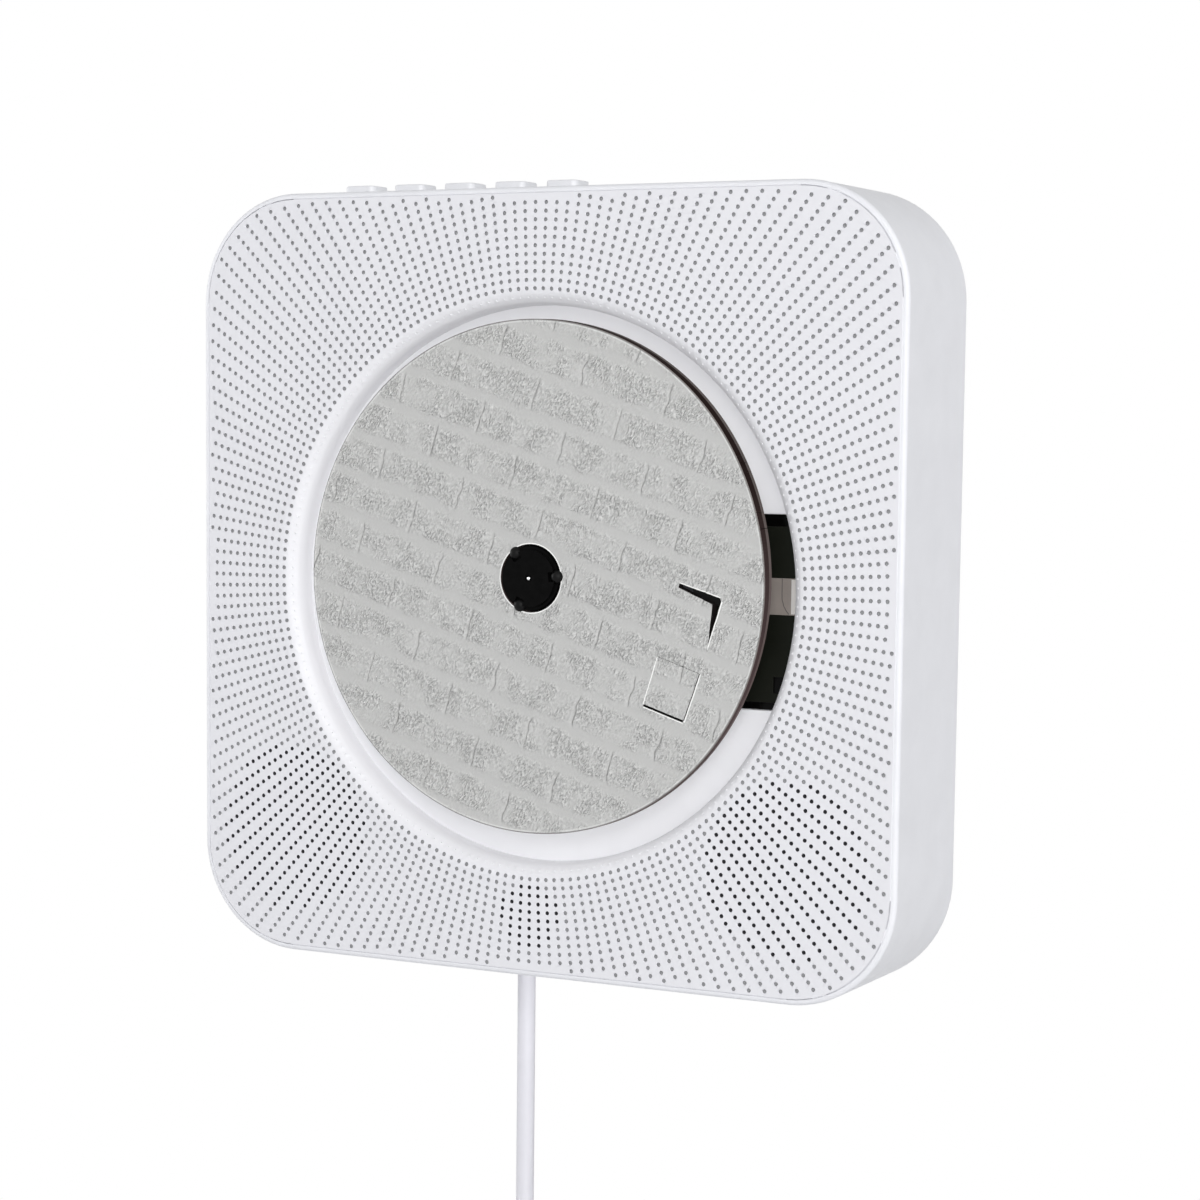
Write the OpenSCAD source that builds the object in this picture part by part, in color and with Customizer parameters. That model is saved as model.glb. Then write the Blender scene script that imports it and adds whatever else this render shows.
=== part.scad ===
// Wall-mounted disc player with a perforated front, a recessed disc well and a pull cord.
// X runs to the viewer's right, Y runs back to the wall (wall plane at 0) and Z runs up.
// Depths are measured from the front face of the housing towards the wall.

/* [Housing] */
// Width and height of the housing
body_w = 184.5; // [170:0.5:200]
// Depth from the front face to the back of the rear cover
body_d = 37.5; // [36:0.5:46]
// Radius of the housing's four corners
body_r = 26; // [18:0.5:30]
// Thickness of the housing's side walls
wall_t = 2.2; // [1.8:0.1:3]
// Width of the plain rim round the perforated front
rim_w = 1.3; // [1.2:0.1:2]
// Rounding of the rim's outer edge
rim_round = 1.1; // [0.6:0.1:1.1]
// Thickness of the outer flange of the rear cover
cover_t = 1.2; // [1:0.1:2]
// Depth of the rear cover's spigot
spigot_t = 2; // [1.5:0.1:3]

/* [Perforated front] */
// Thickness of the front panel
panel_t = 2.4; // [2:0.1:3]
// Number of holes in one ring of the pattern
holes_per_ring = 200; // [160:4:220]
// Distance of the innermost ring inside the outer edge of the well's round
ring_inset = 0.8; // [0.6:0.1:1]
// Distance between two rings of holes
ring_pitch = 1.965; // [1.9:0.005:2.4]
// Diameter of one hole
hole_d = 1.15; // [0.8:0.05:1.2]
// Least distance from a hole's centre to the panel's edge
hole_margin = 0.8; // [0.8:0.1:2]

/* [Disc well] */
// Radius of the well's upright wall
well_r = 65.3; // [64:0.1:67]
// Radius of the soft round at the well's mouth
lip_round = 4.5; // [3:0.1:5]
// Depth of the well's floor
well_d = 7; // [6.5:0.1:8]
// Thickness of the well's wall and floor
well_t = 2; // [1.6:0.1:2.5]
// Height of the turntable's axis above the centre of the front
spindle_up = 2; // [0:0.1:3]

/* [Deck] */
// Height of the deck's upper edge above the centre of the front
deck_top = 18.2; // [17:0.1:22]
// Distance of the deck's lower edge below the centre of the front
deck_bottom = 26.2; // [22:0.1:28]
// Distance of the deck's left end from the centre
deck_left = 26; // [22:0.5:34]
// Height by which the deck stands above the well's floor
deck_rise = 0.4; // [0.2:0.1:0.8]
// Thickness of the deck
deck_t = 2.2; // [1.8:0.1:2.4]
// Height by which the deck's lid stands above its border
lid_rise = 0.5; // [0.3:0.1:0.8]
// Width of the deck's border above the lid
border_top = 2.7; // [2:0.1:3]
// Width of the deck's border below the lid
border_bottom = 1.7; // [1:0.1:3]
// Width of the slot that the lens runs in
lens_slot_w = 10; // [9:0.5:14]
// Width of the display window
window_w = 6.8; // [5:0.1:7]
// Height of the display window
window_h = 8.3; // [6:0.1:10]

/* [Turntable and disc] */
// Diameter of the paper disc
disc_d = 120; // [118:0.5:121]
// Thickness of the paper disc
disc_t = 2.6; // [1.2:0.1:3]
// Height of the disc's face in front of the front panel
disc_proud = 0.7; // [0:0.1:2]
// Diameter of the disc's centre hole
disc_hole_d = 16; // [15.6:0.1:17]
// Diameter of the hub that the disc fits over
hub_d = 14.9; // [14:0.1:15]
// Diameter of the turntable's plate
platter_d = 33; // [28:0.5:34]
// Radius of the three balls that hold the disc
ball_r = 1.6; // [1.2:0.1:1.8]
// Diameter of the turntable's shaft
shaft_d = 2; // [1.5:0.1:2.5]

/* [Pickup drive] */
// Distance of the lens from the turntable's axis at rest
lens_start = 24; // [23.5:0.1:25]
// Travel of the pickup sled
sled_travel = 27; // [24:0.5:28]
// Length of the sled along its rods
sled_l = 20; // [16:0.5:20]
// Distance of each guide rod from the sled's middle line
rod_z = 16; // [15:0.1:17]
// Diameter of the guide rods
rod_d = 2; // [1.6:0.1:2.4]
// Module of the gear teeth
gear_m = 1; // [1:0.05:1]
// Number of teeth on the drive gear
gear_teeth = 14; // [14:4:18]
// Number of teeth on the motor pinion
pinion_teeth = 10; // [10:2:10]
// Thickness of the gears
gear_t = 2.5; // [2:0.1:3]

/* [Speakers] */
// Gap between a speaker's rim and the housing's side wall
speaker_side_gap = 1.75; // [1.5:0.05:3]
// Gap between a speaker's rim and the housing's bottom wall
speaker_bottom_gap = 5.75; // [5:0.05:7]
// Gap between a speaker's rim and the disc well
speaker_well_gap = 0.5; // [0.4:0.05:1]
// Width of the speaker frame's rim
speaker_rim_w = 1.7; // [1.5:0.1:3]
// Depth of the speaker from its rim to its back
speaker_d = 20; // [16:0.5:22]

/* [Remote receiver] */
// Height of the receiver above the middle between the well and the bottom wall
receiver_up = 1.2; // [0:0.1:2]
// Band of closed holes between the well and the receiver's open holes
receiver_margin = 3.6; // [3:0.1:5]

/* [Buttons] */
// Width of one button
button_w = 8.3; // [7:0.1:10]
// Depth of one button
button_l = 7.7; // [6:0.1:9]
// Distance between two buttons
button_pitch = 13.9; // [12.5:0.1:14.5]
// Distance of the outermost button from the housing's left side
button_edge = 35; // [30:0.5:38]
// Height of the buttons above the housing
button_rise = 2.7; // [2:0.1:3.5]
// Depth of the buttons' centre line behind the front
button_depth = 19; // [16:0.5:22]
// Travel of a button
button_travel = 0.8; // [0.5:0.1:0.8]

/* [Pull switch and lead] */
// Distance of the lead to the left of the centre
lead_left = 11.3; // [9:0.1:14]
// Depth of the lead behind the front
lead_depth = 20; // [18:0.5:22]
// Diameter of the lead
lead_d = 4.4; // [3.5:0.1:5]
// Diameter of the sliding sleeve that the lead leaves through
sleeve_d = 6.8; // [6:0.1:8]
// Travel of the pull switch
pull_travel = 4; // [3:0.5:5]

/* [Wall plate] */
// Width of the wall plate
plate_w = 116; // [108:1:130]
// Height of the wall plate
plate_h = 76; // [66:1:90]
// Thickness of the wall plate
plate_t = 2; // [1.5:0.1:2.5]
// Distance between the wall and the player's back
wall_gap = 3; // [2.8:0.1:5]
// Distance between the wall screws, sideways
screw_dx = 90; // [80:1:96]
// Distance between the wall screws, upwards
screw_dz = 50; // [44:1:56]
// Diameter of the wall screw holes
screw_hole_d = 5; // [4:0.1:6]
// Distance of each hook from the middle
hook_x = 34; // [30:1:38]
// Height of the hooks above the middle
hook_z = 14; // [8:1:18]
// Diameter of a hook's neck
hook_neck_d = 4.4; // [3.6:0.1:5]
// Diameter of a hook's head
hook_head_d = 8.4; // [7:0.1:9]
// Distance that the player is lifted to leave the hooks
lift_travel = 8; // [7:0.5:10]

/* [Hidden] */

button_n = 5;           // each button is a node of its own

fine = 96;              // segments of a large round
small = 32;             // segments of a small round
front_y = -wall_gap - body_d;
half = body_w / 2;
corner_c = half - body_r;               // centre of each corner's round
inner_half = half - wall_t;             // inside of the side walls
inner_r = body_r - wall_t;
panel_clear = 0.15;                     // gap between rim and panel
panel_half = half - rim_w - panel_clear;
panel_r = body_r - rim_w - panel_clear;
seat = 0.2;                             // gap between pieces that are seated in each other
eps = 0.01;
overshoot = 1;                          // how far a cutting tool runs past a face

well_out = well_r + well_t;             // outside of the well's wall
first_ring_r = well_r + lip_round - ring_inset;

baffle_t = 2.5;
baffle_d0 = panel_t;
baffle_d1 = baffle_d0 + baffle_t;
lip_d = lip_round + 0.5;                // depth at which the panel's lip ends
lip_t = well_t;                         // thickness of the lip
back_d = body_d - cover_t;              // inner face of the cover's flange
spigot_d = back_d - spigot_t;           // inner face of the cover's spigot
cover_edge = 0.25;                      // how far the cover's flange stays inside the walls
cover_round = 0.8;                      // rounding of the cover's outer edge

deck_d0 = well_d - deck_rise;
deck_d1 = deck_d0 + deck_t;
ledge_w = 2;                            // ledge under the deck's edge
ledge_t = 1.2;
deck_corner = 6;
border_side = 0.4;                      // the deck's border along the well's wall
latch_w = 2.6;                          // pocket of the latch in the lid
latch_h = 3.7;
latch_in = 2.2;                         // from the lid's lower edge to the pocket
deck_h = deck_top + deck_bottom;
deck_mid = (deck_top - deck_bottom) / 2;

disc_d0 = -disc_proud;
disc_d1 = disc_d0 + disc_t;
rubber_t = 0.5;
platter_d0 = disc_d1 + rubber_t;
platter_t = 2;
platter_d1 = platter_d0 + platter_t;
platter_boss_r = 4;
hub_proud = 1;
hub_top = disc_d0 - hub_proud;
hub_step = 0.8;                         // step round the hub's top
tip_r = 0.45;                           // bright end of the shaft in the hub's top
tip_well_r = 0.9;
tip_well_d = 0.3;
hub_open_r = platter_d / 2 + 1;         // opening in the deck round the turntable
ball_angles = [5, 125, 246];
course_tilt = -17.5;                   // the courses of brick on the disc run down to the right
ball_clear = 0.3;
ball_seat = 0.2;
ball_out = hub_d / 2 - 0.5;             // from the hub's axis to a ball's centre
ball_sink = 0.4;                        // depth of a ball's centre behind the disc's face

motor_r = 12.4;
motor_d0 = well_d + well_t + 0.4;
chassis_d0 = 17.6;
chassis_t = 1.6;
chassis_d1 = chassis_d0 + chassis_t;
post_r = 3;
post_gap = 0.6;                         // between a post and the deck's ledge
damper_t = 1.1;
screw_r = 1.2;
screw_head_r = 2 * screw_r;
screw_head_t = 1.4;
screw_l = 6;                            // how far a chassis screw reaches in front of the chassis
cover_screw_l = 9;                      // how far a cover screw reaches in front of the spigot
head_sunk = 0.2;                        // a screw's head lies this far inside its recess
damper_r = 4.2;
sled_motor_r = 6;
sled_motor_l = 9;
sled_shaft_r = 0.8;
rod_depth = 13.5;
sled_d0 = 10.5;
sled_d1 = 16;
sled_half = 13;
bush_r = 2.6;
run_fit = 0.06;                         // radial gap of a shaft that turns or slides
rack_z = rod_z + 6;                     // the rack's pitch line below the sled's middle line
gear_r = gear_m * gear_teeth / 2;
pinion_r = gear_m * pinion_teeth / 2;
gear_x = lens_start + sled_travel / 2;
pinion_x = gear_x - gear_r - pinion_r;
gear_d0 = 11.6;
post_out = seat + ledge_w + post_r + post_gap;
post_x = [-deck_left, gear_x + gear_r + 7];
post_z = [deck_top + post_out - spindle_up, -deck_bottom - post_out - spindle_up];
chassis_edge = 5;                       // from a post's axis to the chassis's edge
chassis_left = deck_left + chassis_edge;
chassis_right = lens_start + sled_travel + sled_l / 2 + 7;
chassis_up = post_z[0] + chassis_edge;
chassis_down = -post_z[1] + chassis_edge;
axle_r = 1.2;
rack_reach = sled_travel / 2 + 5;       // the rack's half length
rack_n = ceil((sled_travel / 2 + rack_reach) / (PI * gear_m));
pedestal_x = [lens_start - sled_l / 2 - 3, chassis_right - 3];
pedestal_w = 3;
addendum = 0.75 * gear_m;
dedendum = 1.05 * gear_m;
backlash = 0.14;                        // taken off each side of a tooth
pressure = 20;
lens_r = 3.4;
slot_end = 0.8;                         // between the lens at its limits and the slot's ends
lens_gap = 1.7;                         // between the lens and the disc
window_x = well_r - 1 - window_w;       // left edge of the display window
window_z = -0.3;

button_top = half + button_rise;
flange_t = 1.2;
flange_gap = 0.25;
flange_side = 1;
button_clear = 0.3;
button_foot = inner_half - flange_gap - flange_t - 2.1;
board_t = 1.6;
switch_h = 3.4;
switch_pin = 0.6;
switch_pin_r = 1.7;
switch_side = 6;                        // side of a key switch's body
key_board_side = 10;                    // from the outer buttons' axes to their board's ends
key_board_back = 6;                     // from the buttons' axes to their board's back edge
board_z = button_foot - button_travel - 0.1 - switch_pin - switch_h - board_t;

lead_x = -lead_left;
lead_y = front_y + lead_depth;
sleeve_out = 3;                         // how far the sleeve stands out below
sleeve_z0 = -half - sleeve_out;
sleeve_top = -half + 16;
collar_r = sleeve_d / 2 + 1.4;
collar_t = 2;
chamber_z = sleeve_top - collar_t - pull_travel - 1.5;
switch_w = 16;
switch_top = sleeve_top + 4;

vent_w = 2.4;
vent_h = 9;

// The largest speaker that fits between the well and the two walls of a lower corner
fit_x = inner_half - speaker_side_gap;
fit_z = inner_half - speaker_bottom_gap;
fit_well = well_out + speaker_well_gap;
fit_sum = fit_x + fit_z + fit_well;
speaker_r = fit_sum - sqrt(fit_sum * fit_sum - fit_x * fit_x - fit_z * fit_z + fit_well * fit_well);
speaker_x = fit_x - speaker_r;
speaker_z = fit_z - speaker_r;
speaker_open_r = speaker_r - speaker_rim_w;
speaker_d0 = baffle_d1;
speaker_rim_t = 1.5;
magnet_t = 6;
magnet_r = speaker_r - 7.5;
magnet_cap_t = 2;
magnet_d0 = speaker_d0 + speaker_d - magnet_t - magnet_cap_t;
basket_t = 1.5;
basket_w = 5;           // depth of the basket's windows
basket_l = 13;          // width of the basket's windows
cone_r = speaker_open_r - 0.6;
cone_t = 0.6;
dome_r = 6.4;           // radius of the cone's dome
cone_d = 7;             // depth of the cone

receiver_z = (well_out + inner_half) / 2 - receiver_up;
receiver_open_r = (inner_half - well_out) / 2 - receiver_margin;
receiver_w = 6;
receiver_post_r = 1.4;
receiver_post_x = receiver_open_r + 2;
receiver_board_d = baffle_d1 + 4.4;
stud_gap = 0.4;                         // between the hook's head and the cover
pillar_in = 16;                         // from the upper pillars to the inner walls
pillar_up = 8;                          // from the lower pillars to the bottom wall
pillar_x = 36;
cover_screw_pts = [[pillar_in - inner_half, inner_half - pillar_in],
                   [inner_half - pillar_in, inner_half - pillar_in],
                   [-pillar_x, pillar_up - inner_half], [pillar_x, pillar_up - inner_half]];
pillar_r = 3.6;
board_w = 110;
board_h = 42;
board_edge = 5;                         // from the board's edge to its screw holes
board_top_gap = 13;                     // from the board to the housing's top wall
board_mid_z = inner_half - board_top_gap - board_h / 2;
standoff_l = 5.7;
standoff_r = 2.4;
board_depth = spigot_d - standoff_l - board_t;
chip_w = 10;
chip_t = 2;
cap_r = 3;
cap_l = 8;
socket_w = 8;
socket_h = 16;
socket_t = 5;

// The coil is wound in layers behind each other, and the lead runs straight down into its
// outermost turn on the left. The tail leaves it on the same side, from the rearmost layer.
strand = 1.03 * lead_d;                 // distance between two turns
coil_r = 5.45 * lead_d;                 // radius at the middle of the turns
coil_turns = 9;
coil_layers = 4;
coil_span = coil_turns / coil_layers * strand;
coil_w = coil_span + lead_d + 1;
coil_deep = (coil_layers - 1) * strand;
coil_h = coil_deep + lead_d + 0.6;
coil_x = lead_x + coil_r + coil_span / 2;
coil_y = lead_y + coil_deep / 2;
coil_z = -186;
tie_w = 6;
tie_t = 1.4;
tie_gap = 0.5;
tail_y = lead_y + coil_deep;

// Hand-chosen heights of the lead and of its tail
lead_pts = [for (z = [sleeve_z0, -102, -110, -118, -126, -134, -142, -150, -158, -166, -173, -180])
            [lead_x, lead_y, z]];
tail_pts = [for (z = [-192, -199, -206, -214, -222, -230, -238]) [lead_x, tail_y, z]];
plug_z = -238;
plug_l = 22;
plug_w = 15;
plug_h = 7.6;
shell_l = 12;
shell_w = 12;
shell_h = 4.5;

// A plate between two depths; the outline's second axis becomes Z
module slab(d0, d1) translate([0, front_y + d1, 0]) rotate([90, 0, 0])
  linear_extrude(d1 - d0) children();

// A body turned about a line along Y; the profile is drawn as radius and depth
module turned(x = 0, z = 0) translate([x, front_y, z]) rotate([-90, 0, 0])
  rotate_extrude($fn = fine) children();

// A round bar along Y between two depths
module bar(x, z, r, d0, d1, f = small) translate([x, front_y + d0, z]) rotate([-90, 0, 0])
  cylinder(h = d1 - d0, r = r, $fn = f);

// A rectangle between two corners
module box2(x0, z0, x1, z1) translate([x0, z0]) square([x1 - x0, z1 - z0]);

// A rectangle with round corners
module rounded(w, h, r) {
  square([w - 2 * r, h], center = true);
  square([w, h - 2 * r], center = true);
  for (x = [-1, 1], z = [-1, 1])
    translate([x * (w / 2 - r), z * (h / 2 - r)]) circle(r, $fn = fine);
}

// What a round of radius r takes off a square corner that points along (sx, sz)
module corner_cut(r, sx, sz) difference() {
  translate([sx > 0 ? -r : -eps, sz > 0 ? -r : -eps]) square(r + eps);
  translate([-sx * r, -sz * r]) circle(r, $fn = fine);
}

// Carries a wall profile, drawn as distance from the corner's centre and depth, round the housing
module round_housing() translate([0, front_y, 0]) rotate([-90, 0, 0])
  for (a = [0:90:270]) rotate(a) translate([corner_c, corner_c, 0]) {
    rotate_extrude(angle = 90, $fn = fine) children();
    rotate([90, 0, 0]) linear_extrude(2 * corner_c) children();
  }

// Housing

module wall_profile() difference() {
  box2(inner_r, 0, body_r, back_d - seat);
  box2(inner_r - eps, -overshoot, body_r - rim_w, panel_t);
  translate([body_r, 0]) corner_cut(rim_round, 1, -1);
}

function button_x(i) = -half + button_edge + i * button_pitch;

module at_button(i) translate([button_x(i), front_y + button_depth, 0]) children();

module housing() color([0.9, 0.9, 0.92]) difference() {
  round_housing() wall_profile();
  for (i = [0:button_n - 1]) at_button(i) translate([0, 0, inner_half - overshoot])
    linear_extrude(wall_t + 2 * overshoot)
      rounded(button_w + 2 * button_clear, button_l + 2 * button_clear, 1.6 + button_clear);
  translate([lead_x, lead_y, -half - overshoot])
    cylinder(h = wall_t + 2 * overshoot, r = sleeve_d / 2 + button_clear, $fn = small);
}

// Perforated front

// True where a point lies on the part of the panel that carries holes
function on_panel(x, z) = let (h = panel_half - hole_margin, c = h - panel_r + hole_margin,
    ax = abs(x), az = abs(z))
  ax <= h && az <= h && !(ax > c && az > c && norm([ax - c, az - c]) > h - c);

// True where the holes go right through, in front of a speaker or the receiver
function is_open(x, z) = norm([abs(x) - speaker_x, z + speaker_z]) < speaker_open_r - hole_d / 4
  || norm([x, z + receiver_z]) < receiver_open_r;

ring_n = ceil((norm([half, half]) - first_ring_r) / ring_pitch);

module open_holes() for (k = [0:ring_n], j = [0:holes_per_ring - 1])
  let (r = first_ring_r + k * ring_pitch, a = j * 360 / holes_per_ring,
       x = r * cos(a), z = r * sin(a))
    if (on_panel(x, z) && is_open(x, z)) translate([x, z]) circle(d = hole_d, $fn = 16);

module lip_profile() difference() {
  union() {
    box2(well_r, 0, well_r + lip_round, panel_t);
    box2(well_r, 0, well_r + lip_t, lip_d);
  }
  translate([well_r, 0]) corner_cut(lip_round, -1, -1);
}

module front_grille() color([0.91, 0.91, 0.94]) {
  slab(0, panel_t) difference() {
    rounded(2 * panel_half, 2 * panel_half, panel_r);
    circle(well_r + lip_round, $fn = fine);
    open_holes();
  }
  turned() lip_profile();
}

// Frame behind the front, with the speakers' seats and the pillars for the rear cover

baffle_half = inner_half - seat;

module baffle() color([0.85, 0.85, 0.87]) {
  slab(baffle_d0, baffle_d1) difference() {
    rounded(2 * baffle_half, 2 * baffle_half, inner_r - seat);
    circle(well_r + lip_t + seat, $fn = fine);
    for (s = [-1, 1]) translate([s * speaker_x, -speaker_z]) circle(speaker_open_r, $fn = 64);
    translate([0, -receiver_z]) circle(receiver_open_r, $fn = small);
  }
  for (p = cover_screw_pts) difference() {
    bar(p[0], p[1], pillar_r, baffle_d1 - eps, spigot_d);
    bar(p[0], p[1], screw_r + run_fit, spigot_d - 10, spigot_d + overshoot);
  }
  // posts that carry the receiver's board
  for (s = [-1, 1])
    bar(s * receiver_post_x, -receiver_z, receiver_post_r, baffle_d1 - eps, receiver_board_d);
  // rails that hold the button board's front edge
  for (x = [button_x(0) - 8, button_x(button_n - 1) + 8]) {
    slab(baffle_d1 - eps, baffle_d1 + 6) box2(x - 2, board_z - 1.6, x + 2, board_z - seat / 2);
    slab(baffle_d1 - eps, baffle_d1 + 6)
      box2(x - 2, board_z + board_t + seat / 2, x + 2, board_z + board_t + 1.6);
  }
}

// Disc well and deck

module deck_outline(grow, reach) intersection() {
  translate([-deck_left - grow, deck_mid]) {
    box_l = deck_left + well_r + 4 * grow;
    translate([deck_corner, -deck_h / 2 - grow]) square([box_l, deck_h + 2 * grow]);
    translate([0, -deck_h / 2 - grow + deck_corner])
      square([deck_corner + 1, deck_h + 2 * grow - 2 * deck_corner]);
    for (s = [-1, 1]) translate([deck_corner, s * (deck_h / 2 + grow - deck_corner)])
      circle(deck_corner, $fn = small);
  }
  circle(reach, $fn = fine);
}

module disc_well() color([0.92, 0.92, 0.95]) {
  difference() {
    turned() {
      box2(well_r, lip_d, well_r + well_t, well_d + well_t);
      box2(0, well_d, well_r + well_t, well_d + well_t);
    }
    slab(well_d - overshoot, well_d + well_t + overshoot) deck_outline(seat, well_r);
  }
  slab(deck_d1, deck_d1 + ledge_t) difference() {
    deck_outline(seat + ledge_w, well_r + well_t);
    deck_outline(-ledge_w, well_r - ledge_w);
    translate([window_x + window_w / 2, window_z]) square([window_w + seat, window_h + seat],
                                                          center = true);
  }
  for (x = post_x, z = post_z) difference() {
    bar(x, z + spindle_up, post_r, well_d + well_t - eps, chassis_d0 - damper_t);
    bar(x, z + spindle_up, screw_r + run_fit, chassis_d0 - damper_t - 6, chassis_d0);
  }
}

module deck_openings() {
  translate([0, spindle_up]) circle(hub_open_r, $fn = fine);
  translate([lens_start + sled_travel / 2, spindle_up])
    rounded(sled_travel + 2 * (lens_r + slot_end), lens_slot_w, 2);
  translate([window_x + window_w / 2, window_z])
    square([window_w + seat, window_h + seat], center = true);
}

// The raised lid, set in from the deck's border, with the latch's pocket near its right end
module deck_lid() difference() {
  intersection() {
    deck_outline(0, well_r - seat - border_side);
    box2(-deck_left, border_bottom - deck_bottom, well_r, deck_top - border_top);
  }
  translate([window_x + latch_w, border_bottom - deck_bottom + latch_in + latch_h / 2])
    square([latch_w, latch_h], center = true);
  deck_openings();
}

module deck() color([0.07, 0.07, 0.07]) {
  slab(deck_d0 + lid_rise, deck_d1) difference() {
    deck_outline(0, well_r - seat);
    deck_openings();
  }
  slab(deck_d0, deck_d0 + lid_rise + eps) deck_lid();
}

module display_window() color([0.54, 0.51, 0.49])
  slab(deck_d0 + 0.1, deck_d1 - 0.6) translate([window_x + window_w / 2, window_z])
    square([window_w, window_h], center = true);

module display_module() color([0.2, 0.2, 0.2])
  slab(deck_d1 - 0.5, deck_d1 + 1.4) translate([window_x + window_w / 2, window_z])
    square([window_w - 0.8, window_h - 1], center = true);

// Turntable and disc

module turntable() color([0.06, 0.06, 0.06]) difference() {
  turned(0, spindle_up) {
    box2(0, hub_top + hub_step, hub_d / 2, platter_d0 + eps);
    difference() {
      box2(0, hub_top, hub_d / 2 - hub_step, disc_d0);
      box2(tip_r, hub_top - overshoot, tip_well_r, hub_top + tip_well_d);
    }
    box2(0, platter_d0, platter_d / 2, platter_d1);
    box2(0, platter_d1 - eps, platter_boss_r, motor_d0 - 0.4);
    box2(0, platter_d1, shaft_d / 2, motor_d0 + 6);
  }
  for (a = ball_angles) at_ball(a) translate([-ball_r - ball_seat, 0, 0]) rotate([0, 90, 0])
    cylinder(h = 3 * ball_r, r = ball_r + ball_seat, $fn = small);
}

module at_ball(a) translate([0, front_y + disc_d0 + ball_sink, spindle_up]) rotate([0, -a, 0])
  translate([ball_out, 0, 0]) children();

module hub_balls() color([0.1, 0.1, 0.1]) for (a = ball_angles) at_ball(a)
  sphere(ball_r, $fn = small);

module rubber_ring() color([0.12, 0.12, 0.12]) turned(0, spindle_up)
  box2(hub_d / 2 + 3, disc_d1 + 0.02, platter_d / 2 - 1, platter_d0);

module paper_disc() color([0.78, 0.78, 0.76]) slab(disc_d0, disc_d1) translate([0, spindle_up])
  difference() {
    circle(d = disc_d, $fn = fine);
    circle(d = disc_hole_d, $fn = fine);
    for (a = ball_angles) rotate(a) translate([ball_out, 0])
      circle(ball_r + ball_clear, $fn = small);
    // slit of the finger flap, and the slit under the square flap, along the courses of brick
    rotate(course_tilt) {
      polygon([[36.6, 11.8], [47.2, 12], [47.7, 11.3], [47.7, 0.8], [45.8, 10], [36.6, 10.8]]);
      translate([36.7, -18.1]) square([10.6, 0.5]);
    }
  }

// Pickup sled, its rods and its drive

// A point on the involute of a base circle, where the string has unwound by t degrees
function involute(rb, t) = rb * [cos(t) + t * PI / 180 * sin(t), sin(t) - t * PI / 180 * cos(t)];

// How far the string has unwound where the involute reaches radius r
function unwound(rb, r) = r <= rb ? 0 : sqrt(r * r / (rb * rb) - 1) * 180 / PI;

function turn(p, a) = [p[0] * cos(a) - p[1] * sin(a), p[0] * sin(a) + p[1] * cos(a)];

// One flank of a tooth, from the base circle to the tip, with the tooth's middle on the X axis
function flank(n, m) = let (rp = m * n / 2, rb = rp * cos(pressure), ra = rp + addendum,
    p0 = involute(rb, unwound(rb, rp)), lean = atan2(p0[1], p0[0]),
    half_tooth = 90 / n - (backlash / rp) * 180 / PI, t1 = unwound(rb, ra))
  [for (i = [0:4]) turn(involute(rb, t1 * i / 4), -lean - half_tooth)];

module tooth(n, m) {
  f = flank(n, m);
  root = m * n / 2 - dedendum;
  polygon(concat([[root - 0.4, f[0][1]]], f,
                 [for (i = [4:-1:0]) [f[i][0], -f[i][1]]], [[root - 0.4, -f[0][1]]]));
}

module gear_outline(n, m, turned_by) rotate(turned_by) {
  circle(m * n / 2 - dedendum, $fn = fine);
  for (i = [0:n - 1]) rotate(i * 360 / n) tooth(n, m);
}

module drive_gear() color([0.93, 0.92, 0.86]) difference() {
  slab(gear_d0, gear_d0 + gear_t) translate([gear_x, spindle_up - rack_z - gear_r])
    gear_outline(gear_teeth, gear_m, 0);
  bar(gear_x, spindle_up - rack_z - gear_r, axle_r + run_fit, gear_d0 - 1, gear_d0 + gear_t + 1);
}

module motor_pinion() color([0.8, 0.75, 0.55]) {
  slab(gear_d0, gear_d0 + gear_t)
    translate([pinion_x, spindle_up - rack_z - gear_r])
      gear_outline(pinion_teeth, gear_m, 180 / pinion_teeth);
  bar(pinion_x, spindle_up - rack_z - gear_r, 0.8,
      gear_d0 + gear_t - eps, chassis_d1 + 3);
}

// Rack tooth, pointing down from the bar
module rack_tooth() {
  w = PI * gear_m / 4 - backlash;
  s = tan(pressure);
  polygon([[-w - dedendum * s, dedendum + 0.3], [-w - dedendum * s, dedendum],
           [-w + addendum * s, -addendum], [w - addendum * s, -addendum],
           [w + dedendum * s, dedendum], [w + dedendum * s, dedendum + 0.3]]);
}

module sled() color([0.15, 0.15, 0.16]) translate([0, 0, spindle_up]) {
  difference() {
    union() {
      slab(sled_d0, sled_d1) translate([lens_start, 0])
        rounded(sled_l, 2 * sled_half, 2);
      for (s = [-1, 1]) translate([lens_start - sled_l / 2, front_y + rod_depth, s * rod_z])
        rotate([0, 90, 0]) cylinder(h = sled_l, r = bush_r, $fn = small);
      slab(rod_depth - 1.2, rod_depth + 1.2) translate([lens_start, 0])
        square([sled_l, 2 * rod_z], center = true);
      slab(gear_d0, gear_d0 + gear_t) {
        translate([lens_start, -rack_z + dedendum + 0.9])
          square([2 * rack_reach, 1.4], center = true);
        box2(lens_start - sled_l / 2, -rack_z + dedendum + 0.9,
             lens_start + sled_l / 2, -rod_z);
        for (i = [-rack_n:rack_n]) let (x = gear_x + i * PI * gear_m)
          if (abs(x - lens_start) < rack_reach - 1.4) translate([x, -rack_z]) rack_tooth();
      }
      bar(lens_start, 0, lens_r, disc_d1 + lens_gap + 1.2, sled_d0 + eps);
    }
    for (s = [-1, 1]) translate([lens_start - sled_l, front_y + rod_depth, s * rod_z])
      rotate([0, 90, 0]) cylinder(h = 2 * sled_l, r = rod_d / 2 + run_fit, $fn = small);
    bar(lens_start, 0, lens_r - 0.9, disc_d1 + lens_gap, sled_d0);
  }
}

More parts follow.
